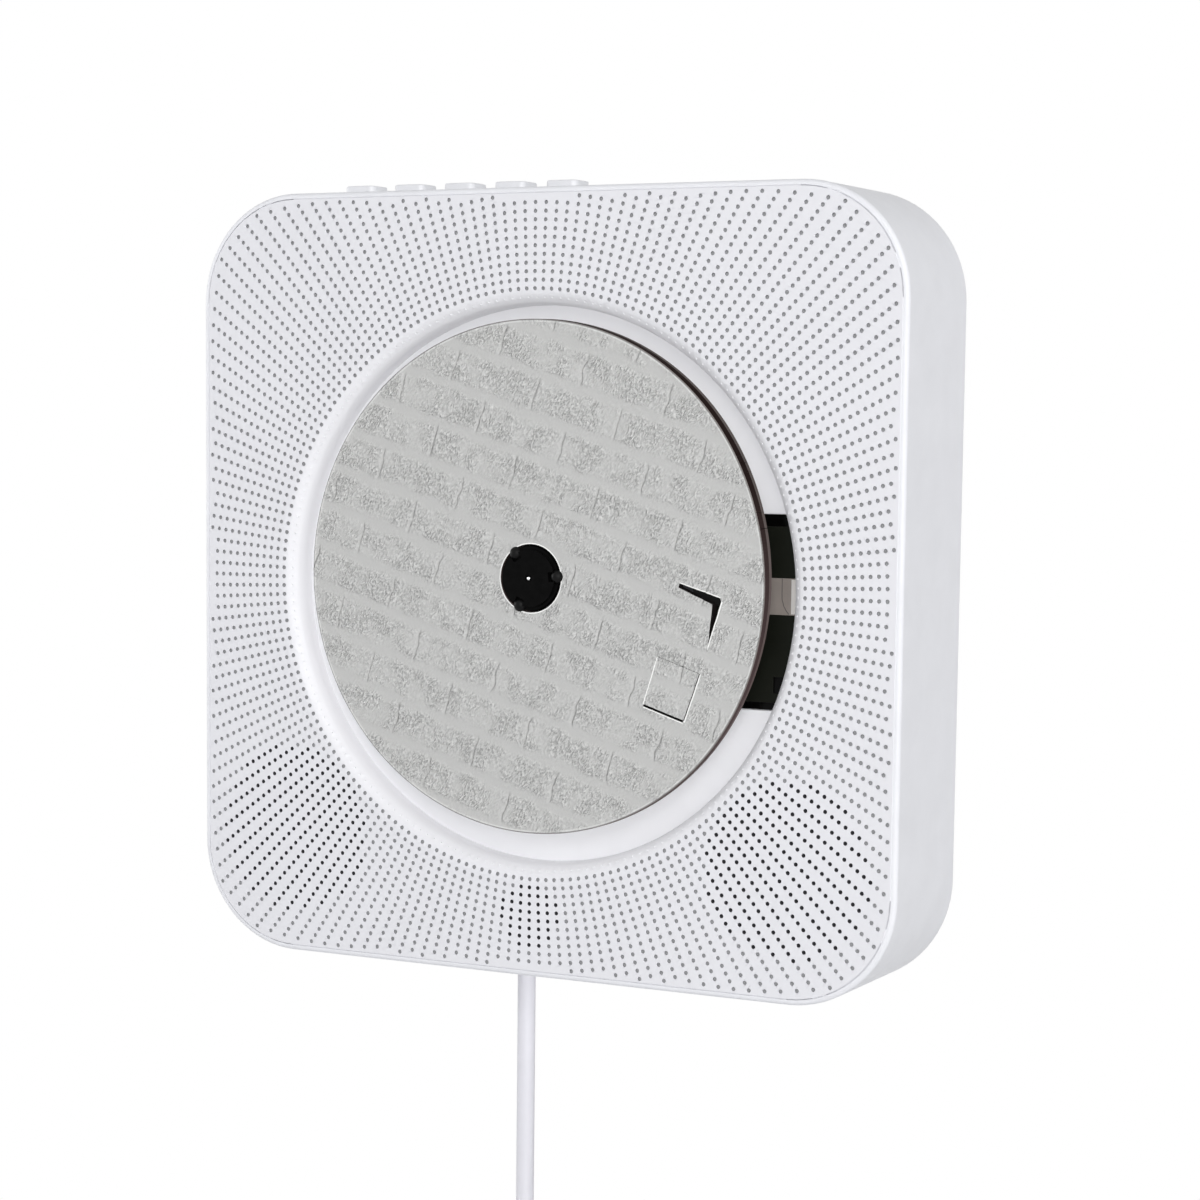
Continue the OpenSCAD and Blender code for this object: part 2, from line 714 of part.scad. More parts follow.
module lens() color([0.55, 0.6, 0.75]) turned(lens_start, spindle_up)
  difference() {
    translate([0, disc_d1 + lens_gap + 4]) circle(4, $fn = small);
    box2(-5, disc_d1, 0, disc_d1 + 12);
    box2(0, disc_d1 + lens_gap + 1.6, 5, disc_d1 + 12);
    box2(lens_r - 1, disc_d1, 6, disc_d1 + 12);
  }

module guide_rods() color([0.75, 0.76, 0.78]) for (s = [-1, 1])
  translate([pedestal_x[0] - pedestal_w / 2, front_y + rod_depth, spindle_up + s * rod_z])
    rotate([0, 90, 0])
      cylinder(h = pedestal_x[1] - pedestal_x[0] + pedestal_w, r = rod_d / 2, $fn = small);

module chassis() color([0.3, 0.3, 0.31]) translate([0, 0, spindle_up]) difference() {
  union() {
    slab(chassis_d0, chassis_d1) difference() {
      translate([(chassis_right - chassis_left) / 2, (chassis_up - chassis_down) / 2])
        rounded(chassis_left + chassis_right, chassis_up + chassis_down, 5);
      translate([(pedestal_x[0] + pedestal_x[1]) / 2 + 1, 0])
        rounded(pedestal_x[1] - pedestal_x[0] - 8, 2 * (rod_z - 4), 3);
      translate([-22, 0]) rounded(8, 30, 3);
      circle(4, $fn = small);
      for (x = post_x, z = post_z) translate([x, z]) circle(screw_r + 0.3, $fn = small);
      translate([pinion_x, -rack_z - gear_r]) circle(2, $fn = small);
    }
    for (x = pedestal_x, s = [-1, 1]) slab(rod_depth - rod_d / 2 - 1, chassis_d0 + eps)
      translate([x, s * rod_z]) square([pedestal_w, 4.6], center = true);
    bar(gear_x, -rack_z - gear_r, axle_r, gear_d0 - 0.6, chassis_d0 + eps);
    bar(gear_x, -rack_z - gear_r, 2.6, gear_d0 + gear_t + 0.3, chassis_d0 + eps);
  }
  for (s = [-1, 1]) translate([0, front_y + rod_depth, s * rod_z]) rotate([0, 90, 0])
    cylinder(h = 100, r = rod_d / 2 + 0.02, $fn = small);
}

module spindle_motor() color([0.7, 0.71, 0.73]) difference() {
  bar(0, spindle_up, motor_r, motor_d0, chassis_d0, fine);
  bar(0, spindle_up, shaft_d / 2 + run_fit, motor_d0 - 1, motor_d0 + 7);
}

module sled_motor() color([0.7, 0.71, 0.73]) difference() {
  bar(pinion_x, spindle_up - rack_z - gear_r, sled_motor_r, chassis_d1,
      chassis_d1 + sled_motor_l, fine);
  bar(pinion_x, spindle_up - rack_z - gear_r, sled_shaft_r + run_fit,
      chassis_d1 - 1, chassis_d1 + 4);
}

module dampers() color([0.2, 0.2, 0.22]) for (x = post_x, z = post_z) difference() {
  bar(x, z + spindle_up, damper_r, chassis_d0 - damper_t, chassis_d0);
  bar(x, z + spindle_up, screw_r + 0.1, chassis_d0 - damper_t - 1, chassis_d0 + 1);
}

module chassis_screws() color([0.75, 0.76, 0.78]) for (x = post_x, z = post_z) {
  bar(x, z + spindle_up, screw_r, chassis_d0 - screw_l, chassis_d1 + eps);
  bar(x, z + spindle_up, screw_head_r, chassis_d1, chassis_d1 + screw_head_t);
}

// Speakers

module speaker_frame(s) color([0.12, 0.12, 0.12]) difference() {
  turned(s * speaker_x, -speaker_z) {
    box2(cone_r - 1, speaker_d0, speaker_r, speaker_d0 + speaker_rim_t);
    polygon([[speaker_r - 2, speaker_d0 + speaker_rim_t - eps],
             [speaker_r - 0.8, speaker_d0 + speaker_rim_t - eps],
             [magnet_r - 2, magnet_d0 - basket_t + eps], [magnet_r - 3.5, magnet_d0 - basket_t + eps]]);
    box2(dome_r - 2.4, magnet_d0 - basket_t, magnet_r - 2, magnet_d0);
  }
  for (a = [45:90:315])
    translate([s * speaker_x, front_y + speaker_d0 + speaker_rim_t + 1 + basket_w / 2, -speaker_z])
      rotate([0, a, 0]) translate([speaker_r / 2, -basket_w / 2, -basket_l / 2])
        cube([speaker_r, basket_w, basket_l]);
}

module speaker_cone(s) color([0.08, 0.08, 0.08]) turned(s * speaker_x, -speaker_z)
  translate([0, speaker_d0 + speaker_rim_t + 0.1]) {
    polygon([[cone_r - 1.2, 0], [cone_r, 0], [cone_r - 0.6, cone_t], [dome_r, cone_d],
             [dome_r - 0.2, cone_d - cone_t], [cone_r - 1.6, cone_t - 0.2]]);
    polygon([[0, cone_d - 3.2], [dome_r / 2, cone_d - 2.4], [dome_r + 0.2, cone_d - 0.7],
             [dome_r, cone_d], [dome_r / 2, cone_d - 1.7], [0, cone_d - 2.4]]);
  }

module speaker_magnet(s) color([0.35, 0.35, 0.37])
  turned(s * speaker_x, -speaker_z) {
    box2(dome_r - 2.4, magnet_d0, magnet_r, magnet_d0 + magnet_t);
    box2(0, magnet_d0 + magnet_t, magnet_r - 1.5, magnet_d0 + magnet_t + magnet_cap_t);
    box2(0, magnet_d0, dome_r - 3.4, magnet_d0 + magnet_t + eps);
  }

module speaker_frame_left() speaker_frame(-1);
module speaker_frame_right() speaker_frame(1);
module speaker_cone_left() speaker_cone(-1);
module speaker_cone_right() speaker_cone(1);
module speaker_magnet_left() speaker_magnet(-1);
module speaker_magnet_right() speaker_magnet(1);

// Remote receiver and circuit boards

module receiver() {
  color([0.08, 0.06, 0.08]) {
    slab(baffle_d1 + 0.6, receiver_board_d + eps) translate([0, -receiver_z])
      square([receiver_w, receiver_w + 1], center = true);
    translate([0, front_y + baffle_d1 + 0.6, -receiver_z]) sphere(receiver_w / 2 - 0.8, $fn = small);
  }
  color([0.1, 0.35, 0.2]) slab(receiver_board_d, receiver_board_d + 1) translate([0, -receiver_z])
    square([2 * receiver_post_x + 4, 2 * receiver_open_r - 1.6], center = true);
}

module main_board() color([0.1, 0.35, 0.2]) slab(board_depth, board_depth + board_t)
  translate([0, board_mid_z]) difference() {
    square([board_w, board_h], center = true);
    for (x = [-1, 1], z = [-1, 1])
      translate([x * (board_w / 2 - board_edge), z * (board_h / 2 - board_edge)])
        circle(screw_r, $fn = small);
  }

module board_parts() color([0.15, 0.15, 0.16]) {
  // places on the board, as shares of its width and height
  for (p = [[-0.31, 0.2], [-0.09, 0.1], [0.18, -0.14]])
    slab(board_depth - chip_t, board_depth)
      translate([p[0] * board_w, board_mid_z + p[1] * board_h]) square(chip_w, center = true);
  for (i = [-3:1]) bar((i + 0.3) * board_w / 11, board_mid_z - 0.31 * board_h, cap_r,
                       board_depth - cap_l, board_depth);
  slab(board_depth - socket_t, board_depth) translate([0.38 * board_w, board_mid_z + 0.19 * board_h])
    square([socket_w, socket_h], center = true);
}

module button_board() color([0.1, 0.35, 0.2])
  translate([button_x(0) - key_board_side, front_y + baffle_d1 + seat / 2, board_z])
    cube([(button_n - 1) * button_pitch + 2 * key_board_side,
          button_depth + key_board_back - baffle_d1, board_t]);

module tact_switches() color([0.2, 0.2, 0.2]) for (i = [0:button_n - 1]) at_button(i) {
  translate([-switch_side / 2, -switch_side / 2, board_z + board_t])
    cube([switch_side, switch_side, switch_h]);
  translate([0, 0, board_z + board_t + switch_h - eps])
    cylinder(h = switch_pin, r = switch_pin_r, $fn = small);
}

// Buttons

module button(i) color([0.88, 0.88, 0.9]) at_button(i) {
  translate([0, 0, inner_half - flange_gap - eps])
    linear_extrude(button_top - inner_half + flange_gap - 0.6) rounded(button_w, button_l, 1.6);
  translate([0, 0, button_top - 0.6 - 2 * eps])
    linear_extrude(0.6) rounded(button_w - 0.8, button_l - 0.8, 1.2);
  translate([0, 0, inner_half - flange_gap - flange_t]) linear_extrude(flange_t)
    rounded(button_w + 2 * flange_side, button_l + 2 * flange_side, 1.6);
  translate([0, 0, button_foot])
    cylinder(h = inner_half - flange_gap - flange_t - button_foot + eps, r = 1.5, $fn = small);
}

module button_1() button(0);
module button_2() button(1);
module button_3() button(2);
module button_4() button(3);
module button_5() button(4);

// Pull switch

module switch_housing() color([0.2, 0.2, 0.22]) translate([lead_x, lead_y, 0]) difference() {
  translate([-switch_w / 2, -switch_w / 2, -inner_half])
    cube([switch_w, switch_w, switch_top + inner_half]);
  translate([0, 0, -inner_half - overshoot])
    cylinder(h = chamber_z + inner_half + 2 * overshoot, r = sleeve_d / 2 + button_clear, $fn = small);
  translate([0, 0, chamber_z])
    cylinder(h = switch_top - chamber_z - 2, r = collar_r + button_clear, $fn = small);
}

module pull_sleeve() color([0.9, 0.9, 0.92]) translate([lead_x, lead_y, 0]) {
  translate([0, 0, sleeve_z0]) cylinder(h = sleeve_top - sleeve_z0, r = sleeve_d / 2, $fn = small);
  translate([0, 0, sleeve_top - collar_t]) cylinder(h = collar_t, r = collar_r, $fn = small);
}

// Rear cover with the keyholes that hang on the hooks

module keyhole(clear) {
  circle(hook_head_d / 2 + clear, $fn = small);
  translate([0, lift_travel]) circle(hook_neck_d / 2 + clear, $fn = small);
  translate([-hook_neck_d / 2 - clear, 0]) square([hook_neck_d + 2 * clear, lift_travel]);
}

module vent_slot() {
  square([vent_w, vent_h - vent_w], center = true);
  for (s = [-1, 1]) translate([0, s * (vent_h - vent_w) / 2]) circle(d = vent_w, $fn = small);
}

module cover_openings() {
  for (s = [-1, 1]) translate([s * hook_x, hook_z - lift_travel]) keyhole(0.4);
  for (i = [-4:4], z = [-52, -40]) translate([i * 7, z]) vent_slot();
  for (p = cover_screw_pts) translate(p) circle(screw_r + 0.3, $fn = small);
}

module rear_cover() color([0.88, 0.88, 0.9]) {
  difference() {
    union() {
      slab(back_d, body_d - cover_round)
        rounded(body_w - 2 * cover_edge, body_w - 2 * cover_edge, body_r - cover_edge);
      slab(body_d - cover_round - eps, body_d)
        rounded(body_w - 2 * cover_edge - 2 * cover_round, body_w - 2 * cover_edge - 2 * cover_round,
                body_r - cover_edge - cover_round);
      slab(spigot_d, back_d + eps)
        rounded(2 * inner_half - 2 * seat, 2 * inner_half - 2 * seat, inner_r - seat);
    }
    slab(spigot_d - overshoot, body_d + overshoot) cover_openings();
    for (p = cover_screw_pts) bar(p[0], p[1], 2.8, body_d - 1.6, body_d + overshoot);
  }
  for (x = [-1, 1], z = [-1, 1])
    bar(x * (board_w / 2 - board_edge), board_mid_z + z * (board_h / 2 - board_edge), standoff_r,
        board_depth + board_t, spigot_d + eps);
}

module cover_screws() color([0.75, 0.76, 0.78]) for (p = cover_screw_pts) {
  bar(p[0], p[1], screw_r, spigot_d - cover_screw_l, body_d - head_sunk - screw_head_t + eps);
  bar(p[0], p[1], screw_head_r, body_d - head_sunk - screw_head_t, body_d - head_sunk);
}

// Wall plate

module wall_plate() color([0.86, 0.86, 0.88]) {
  difference() {
    translate([0, -plate_t, 0]) rotate([-90, 0, 0]) linear_extrude(plate_t) difference() {
      rounded(plate_w, plate_h, 8);
      for (x = [-1, 1], z = [-1, 1]) translate([x * screw_dx / 2, z * screw_dz / 2])
        circle(d = screw_hole_d, $fn = small);
      rounded(36, 40, 8);
    }
  }
  for (s = [-1, 1]) translate([s * hook_x, 0, hook_z]) rotate([90, 0, 0]) {
    translate([0, 0, plate_t - eps])
      cylinder(h = body_d - spigot_d + wall_gap - plate_t + stud_gap + 2 * eps,
               r = hook_neck_d / 2, $fn = small);
    translate([0, 0, wall_gap + body_d - spigot_d + stud_gap])
      cylinder(h = 1.6, r = hook_head_d / 2, $fn = small);
  }
}

// Lead, coil and plug

// A tube of round section swept along points that run straight down
module lead_tube(pts, n = 10) {
  ring = [for (i = [0:n - 1]) lead_d / 2 * [cos(360 * i / n), sin(360 * i / n)]];
  k = len(pts);
  polyhedron(
    [for (p = pts) for (q = ring) [p[0] + q[0], p[1] + q[1], p[2]]],
    concat([[for (i = [0:n - 1]) i]],
           [for (s = [0:k - 2], i = [0:n - 1])
             [s * n + i, (s + 1) * n + i, (s + 1) * n + (i + 1) % n, s * n + (i + 1) % n]],
           [[for (i = [n - 1:-1:0]) (k - 1) * n + i]]));
}

module lead() color([0.93, 0.93, 0.95]) lead_tube(lead_pts);

module lead_tail() color([0.93, 0.93, 0.95]) lead_tube(tail_pts);

module lead_coil() color([0.93, 0.93, 0.95]) translate([coil_x, coil_y, coil_z])
  rotate([90, 0, 0]) rotate_extrude($fn = fine) translate([coil_r, 0]) rounded(coil_w, coil_h, 5);

module lead_tie() color([0.2, 0.2, 0.2]) translate([coil_x - tie_w / 2, coil_y, coil_z + coil_r])
  rotate([0, 90, 0]) linear_extrude(tie_w) difference() {
    rounded(coil_w + 2 * (tie_gap + tie_t), coil_h + 2 * (tie_gap + tie_t), 6);
    rounded(coil_w + 2 * tie_gap, coil_h + 2 * tie_gap, 5);
  }

module plug_body() color([0.93, 0.93, 0.95]) translate([lead_x, tail_y, plug_z])
  rotate([180, 0, 0]) linear_extrude(plug_l) rounded(plug_w, plug_h, 2);

module plug_shell() color([0.78, 0.79, 0.8]) translate([lead_x, tail_y, plug_z - plug_l])
  rotate([180, 0, 0]) linear_extrude(shell_l) difference() {
    square([shell_w, shell_h], center = true);
    translate([0, -0.5]) square([shell_w - 0.8, shell_h - 1.8], center = true);
  }

wall_plate();
housing();
front_grille();
baffle();
disc_well();
deck();
display_window();
display_module();
chassis();
dampers();
chassis_screws();
spindle_motor();
guide_rods();
sled_motor();
turntable();
hub_balls();
rubber_ring();
paper_disc();
sled();
lens();
drive_gear();
motor_pinion();
speaker_frame_left();
speaker_frame_right();
speaker_cone_left();
speaker_cone_right();
speaker_magnet_left();
speaker_magnet_right();
receiver();
main_board();
board_parts();
button_board();
tact_switches();
button_1();
button_2();
button_3();
button_4();
button_5();
switch_housing();
pull_sleeve();
rear_cover();
cover_screws();
lead();
lead_coil();
lead_tie();
lead_tail();
plug_body();
plug_shell();
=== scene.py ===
"""Looks of a wall-mounted disc player: perforated front, embossed paper disc, pull cord."""
import math

import bmesh
import bpy
from mathutils import Matrix, Vector, noise


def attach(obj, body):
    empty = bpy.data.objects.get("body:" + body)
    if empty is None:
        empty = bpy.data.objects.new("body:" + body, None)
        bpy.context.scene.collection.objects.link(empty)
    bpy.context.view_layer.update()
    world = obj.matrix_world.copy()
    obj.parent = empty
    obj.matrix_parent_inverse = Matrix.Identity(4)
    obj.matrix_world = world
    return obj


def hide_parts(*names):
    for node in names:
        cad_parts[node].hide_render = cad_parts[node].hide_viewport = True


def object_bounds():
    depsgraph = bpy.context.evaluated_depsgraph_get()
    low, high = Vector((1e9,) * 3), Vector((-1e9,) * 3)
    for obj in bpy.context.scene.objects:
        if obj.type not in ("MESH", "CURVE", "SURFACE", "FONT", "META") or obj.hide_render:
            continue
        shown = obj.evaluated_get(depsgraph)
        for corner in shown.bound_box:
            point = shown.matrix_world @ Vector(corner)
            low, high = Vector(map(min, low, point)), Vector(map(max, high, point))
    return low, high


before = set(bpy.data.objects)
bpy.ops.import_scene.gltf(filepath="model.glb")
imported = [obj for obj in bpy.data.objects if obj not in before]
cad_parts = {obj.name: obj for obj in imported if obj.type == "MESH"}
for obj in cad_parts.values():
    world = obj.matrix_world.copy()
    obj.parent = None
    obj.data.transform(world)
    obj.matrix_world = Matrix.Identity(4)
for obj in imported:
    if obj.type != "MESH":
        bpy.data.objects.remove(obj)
cad_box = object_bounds()
bpy.context.scene.view_settings.view_transform = "Standard"

# Sizes of the part, in millimetres, as its source has them
MM = 0.001
FRONT_Y = -40.5                 # the front plane; depths run from it towards the wall
HALF = 92.25                    # half the housing's width
PANEL_HALF = 90.94
PANEL_R = 24.69
PANEL_T = 2.4
WELL_R = 65.3
LIP_ROUND = 4.5
LIP_D = 5
LIP_T = 2
FIRST_RING_R = 69
RING_PITCH = 1.965
HOLES_PER_RING = 200
HOLE_D = 1.15
HOLE_MARGIN = 0.8
SPEAKER_X, SPEAKER_Z, SPEAKER_OPEN_R = 65.81, -61.81, 20.79
RECEIVER_Z, RECEIVER_OPEN_R = -77.475, 7.775
SPINDLE_UP = 2
DISC_R = 60
DISC_T = 2.6
DISC_PROUD = 0.7
DISC_HOLE_R = 8
HUB_PROUD = 1.7                 # the hub's top in front of the front plane
BUTTON_W, BUTTON_L, BUTTON_R, BUTTON_RISE = 8.3, 7.7, 1.6, 2.7
BUTTON_X = [-57.25 + 13.9 * i for i in range(5)]
BUTTON_DEPTH = 19
BUTTON_WALL, BUTTON_GAP = 2.2, 0.25
FLANGE_OUT, FLANGE_T = 1, 1.2
FOOT_W, FOOT_R, FOOT_L = 3, 1.45, 2.1
LEAD_X, LEAD_Y, LEAD_D = -11.3, -20.5, 4.4
DECK_LEFT, DECK_BOTTOM, DECK_TOP = -26, -26.2, 18.2
DECK_CORNER = 6
DECK_REACH = 65.1               # the deck's right end is an arc of this radius
DECK_D0, DECK_D1, LID_RISE = 6.6, 8.8, 0.5
BORDER_TOP, BORDER_BOTTOM, BORDER_SIDE = 2.7, 1.7, 0.4
HUB_OPEN_R = 17.5
LENS_START, SLED_TRAVEL, LENS_R, SLOT_END, LENS_SLOT_W = 24, 27, 3.4, 0.8, 10
WINDOW = (57.5, -4.45, 64.3, 3.85)      # left, lower, right and upper edge
LATCH = (58.8, -22.3, 61.4, -18.6)


def at(x, depth, z):
    """A point at a depth behind the front plane, in metres."""
    return Vector((x * MM, (FRONT_Y + depth) * MM, z * MM))


def new_object(name, data):
    obj = bpy.data.objects.new(name, data)
    bpy.context.scene.collection.objects.link(obj)
    return obj


def add_line(data, places, closed=False):
    """A line with straight sides through places in metres."""
    line = data.splines.new("POLY")
    line.points.add(len(places) - 1)
    line.use_cyclic_u = closed
    for point, place in zip(line.points, places):
        point.co = (*place, 1)
    return line


# Camera, fitted to the rings of holes in the photograph
PICTURE_PX = 1200
FOCAL_PX = 2861.97
SHIFT_PX = 100
SENSOR_W = 36
CAMERA_PLACE = (0.3182, -0.6268, 0.0402)
CAMERA_TURN, CAMERA_FALL, CAMERA_ROLL = (math.radians(a) for a in (27.10, 5.70, 0.65))


def make_camera():
    data = bpy.data.cameras.new("camera")
    data.sensor_width = SENSOR_W
    data.lens = SENSOR_W * FOCAL_PX / PICTURE_PX
    data.shift_y = SHIFT_PX / PICTURE_PX
    camera = new_object("camera", data)
    camera.matrix_world = (Matrix.Translation(CAMERA_PLACE)
                           @ Matrix.Rotation(CAMERA_TURN, 4, "Z")
                           @ Matrix.Rotation(math.pi / 2 - CAMERA_FALL, 4, "X")
                           @ Matrix.Rotation(CAMERA_ROLL, 4, "Z"))
    bpy.context.scene.camera = camera


make_camera()


# The lead: straight down out of the pull switch, into a coil of nine turns in four layers
STRAND = 1.03 * LEAD_D          # from one turn to its neighbour
COIL_R = 5.45 * LEAD_D          # to the middle of the layer
COIL_TURNS = 9
COIL_LAYERS = 4
TURNS_PER_LAYER = COIL_TURNS / COIL_LAYERS
COIL_X = LEAD_X + COIL_R + TURNS_PER_LAYER * STRAND / 2
COIL_Z = -186
TAIL_Y = LEAD_Y + (COIL_LAYERS - 1) * STRAND
LEAD_Z = (-95.25, -102, -110, -118, -126, -134, -142, -150, -158, -166, -173, -180)
TAIL_Z = (-192, -199, -206, -214, -222, -230, -238)
STEPS_PER_TURN = 24
STEP_BACK = 0.5                 # part of a turn over which the coil steps back a layer


def smoothstep(t):
    t = min(max(t, 0), 1)
    return t * t * (3 - 2 * t)


def coil_point(turn):
    """A point on the coil after so many turns; each layer winds in or out, then steps back."""
    layer = min(int(turn / TURNS_PER_LAYER), COIL_LAYERS - 1)
    share = turn / TURNS_PER_LAYER - layer
    across = (0.5 - share) if layer % 2 == 0 else (share - 0.5)
    radius = COIL_R + across * TURNS_PER_LAYER * STRAND
    back = sum(smoothstep((turn - j * TURNS_PER_LAYER + STEP_BACK / 2) / STEP_BACK)
               for j in range(1, COIL_LAYERS))
    angle = math.pi + 2 * math.pi * turn
    return (COIL_X + radius * math.cos(angle), LEAD_Y + back * STRAND,
            COIL_Z + radius * math.sin(angle))


def lead_route():
    turns = [coil_point(i / STEPS_PER_TURN) for i in range(COIL_TURNS * STEPS_PER_TURN + 1)]
    return ([(LEAD_X, LEAD_Y, z) for z in LEAD_Z] + turns
            + [(LEAD_X, TAIL_Y, z) for z in TAIL_Z])


def make_lead():
    data = bpy.data.curves.new("lead_cable", "CURVE")
    data.dimensions = "3D"
    data.bevel_depth = 1            # times the radius of each point
    data.bevel_resolution = 6
    data.use_fill_caps = True
    route = lead_route()
    line = add_line(data, [(x * MM, y * MM, z * MM) for x, y, z in route])
    for point in line.points:
        point.radius = LEAD_D / 2 * MM
    line.use_smooth = True
    cable = new_object("lead_cable", data)
    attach(cable, "pull_switch")
    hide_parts("lead", "lead_coil", "lead_tail")
    return cable


# Materials
class Nodes:
    """A material's node tree, with short calls for what the finishes below need."""

    def __init__(self, name, colour, roughness, metallic=0.0, specular=0.5, **sockets):
        self.material = bpy.data.materials.new(name)
        self.material.use_nodes = True
        self.tree = self.material.node_tree
        self.shader = self.tree.nodes["Principled BSDF"]
        self.shader.inputs["Base Color"].default_value = (*colour, 1)
        self.shader.inputs["Roughness"].default_value = roughness
        self.shader.inputs["Metallic"].default_value = metallic
        self.shader.inputs["Specular IOR Level"].default_value = specular
        for socket, value in sockets.items():
            self.shader.inputs[socket.replace("_", " ")].default_value = value
        self.place = self.add("ShaderNodeTexCoord").outputs["Object"]
        self.normal = None

    def add(self, kind, **values):
        node = self.tree.nodes.new(kind)
        for key, value in values.items():
            setattr(node, key, value)
        return node

    def join(self, source, node, socket):
        self.tree.links.new(source, node.inputs[socket])

    def noise(self, size, detail=4, rough=0.55, stretch=(1, 1, 1), lean=0.0):
        """Noise whose features are about size millimetres wide, leaning over to the right."""
        turn = self.add("ShaderNodeVectorRotate", rotation_type="Y_AXIS")
        turn.inputs["Angle"].default_value = -lean
        self.join(self.place, turn, "Vector")
        mapping = self.add("ShaderNodeMapping")
        mapping.inputs["Scale"].default_value = [1000 / size * s for s in stretch]
        self.join(turn.outputs[0], mapping, "Vector")
        node = self.add("ShaderNodeTexNoise")
        node.inputs["Scale"].default_value = 1
        node.inputs["Detail"].default_value = detail
        node.inputs["Roughness"].default_value = rough
        self.join(mapping.outputs[0], node, "Vector")
        return node.outputs["Fac"]

    def spread(self, source, low, high, to_low, to_high):
        node = self.add("ShaderNodeMapRange")
        for socket, value in zip(("From Min", "From Max", "To Min", "To Max"),
                                 (low, high, to_low, to_high)):
            node.inputs[socket].default_value = value
        self.join(source, node, "Value")
        return node.outputs["Result"]

    def radius(self):
        """Distance from the front's middle, seen from the front, in metres."""
        flat = self.add("ShaderNodeVectorMath", operation="MULTIPLY")
        flat.inputs[1].default_value = (1, 0, 1)
        self.join(self.place, flat, 0)
        far = self.add("ShaderNodeVectorMath", operation="LENGTH")
        self.join(flat.outputs["Vector"], far, 0)
        return far.outputs["Value"]

    def combine(self, operation, one, other):
        node = self.add("ShaderNodeMath", operation=operation)
        self.join(one, node, 0)
        self.join(other, node, 1)
        return node.outputs[0]

    def times(self, one, other):
        return self.combine("MULTIPLY", one, other)

    def plus(self, one, other):
        return self.combine("ADD", one, other)

    def tint(self, source, colour_a, colour_b):
        """Base colour running from one colour to the other as source runs from 0 to 1."""
        mix = self.add("ShaderNodeMix", data_type="RGBA")
        self.join(source, mix, "Factor")
        mix.inputs["A"].default_value = (*colour_a, 1)
        mix.inputs["B"].default_value = (*colour_b, 1)
        self.join(mix.outputs["Result"], self.shader, "Base Color")
        return mix.outputs["Result"]

    def shine(self, source, low, high):
        """Roughness from low to high as source runs over the middle of its range."""
        self.join(self.spread(source, 0.3, 0.7, low, high), self.shader, "Roughness")

    def bump(self, source, height):
        """Raises the surface by height millimetres where source is 1."""
        node = self.add("ShaderNodeBump")
        node.inputs["Distance"].default_value = height * MM
        node.inputs["Strength"].default_value = 1
        self.join(source, node, "Height")
        if self.normal:
            self.join(self.normal, node, "Normal")
        self.normal = node.outputs["Normal"]
        self.join(self.normal, self.shader, "Normal")


def shade(colour, factor):
    return tuple(min(c * factor, 1) for c in colour)


def moulded(name, colour, roughness, grain=0.25, depth=0.012, mottle=0.02, specular=0.5):
    """Moulded plastic: a fine eroded grain, faint mottling and patches of wear."""
    n = Nodes(name, colour, roughness, specular=specular)
    n.tint(n.spread(n.noise(9), 0.3, 0.7, 0, 1),
           shade(colour, 1 - mottle), shade(colour, 1 + mottle))
    n.shine(n.noise(3, detail=6), roughness - 0.05, roughness + 0.07)
    n.bump(n.noise(grain, detail=3), depth)
    return n.material


def metal(name, colour, roughness, stretch=(1, 1, 1)):
    """Bright or painted metal; its drawn lines run along the axis with the small stretch."""
    n = Nodes(name, colour, roughness, metallic=1.0)
    lines = n.noise(0.4, detail=5, stretch=stretch)
    n.tint(n.spread(lines, 0.3, 0.7, 0, 1), shade(colour, 0.88), shade(colour, 1.08))
    n.shine(lines, roughness - 0.06, roughness + 0.1)
    n.bump(lines, 0.008)
    return n.material


def rubber(name, colour):
    n = Nodes(name, colour, 0.85)
    n.tint(n.spread(n.noise(1.5), 0.3, 0.7, 0, 1), shade(colour, 0.8), shade(colour, 1.3))
    n.bump(n.noise(0.18, detail=4), 0.02)
    return n.material


def board_green(name):
    """A circuit board: green mask over fine straight tracks."""
    green, track = (0.012, 0.11, 0.035), (0.03, 0.2, 0.07)
    n = Nodes(name, green, 0.35)
    wave = n.add("ShaderNodeTexWave", wave_type="BANDS", bands_direction="X")
    wave.inputs["Scale"].default_value = 400
    wave.inputs["Distortion"].default_value = 5
    wave.inputs["Detail Scale"].default_value = 3
    n.join(n.place, wave, "Vector")
    lines = n.spread(wave.outputs["Fac"], 0.72, 0.8, 0, 1)
    n.tint(lines, green, track)
    n.shine(n.noise(2), 0.28, 0.42)
    n.bump(lines, 0.03)
    return n.material


def panel_face(name):
    """The front's white plastic, paler where it rounds into the well: painted light on the round
    and the well's wall, which lie in shade.
    """
    white, pale = (0.757, 0.757, 0.787), (0.86, 0.86, 0.885)
    n = Nodes(name, white, 0.45)
    # painted light: the white turns paler from the start of the round into the well
    lip_painted_light = n.spread(n.radius(), (WELL_R + LIP_ROUND) * MM, (WELL_R + 1) * MM, 0, 1)
    n.tint(lip_painted_light, white, pale)
    n.shine(n.noise(3, detail=3), 0.4, 0.5)
    n.bump(n.noise(0.25, detail=2), 0.003)
    return n.material


# An edge colour that darkens towards the top by height alone
def edge_darker_above(name, dark, brown):
    """The disc's edge, darkest in its upper half."""
    n = Nodes(name, brown, 0.6, specular=0.1)
    height = n.add("ShaderNodeSeparateXYZ")
    n.join(n.place, height, "Vector")
    n.tint(n.spread(height.outputs["Z"], -20 * MM, 25 * MM, 0, 1), brown, dark)
    n.shine(n.noise(2), 0.5, 0.65)
    n.bump(n.noise(0.3, stretch=(1, 0.2, 1)), 0.02)
    return n.material


# What the disc's face knows at each point: see brick_height; rim is the distance to its edge
DISC_ATTRIBUTES = ("brick", "joint", "near", "rim")


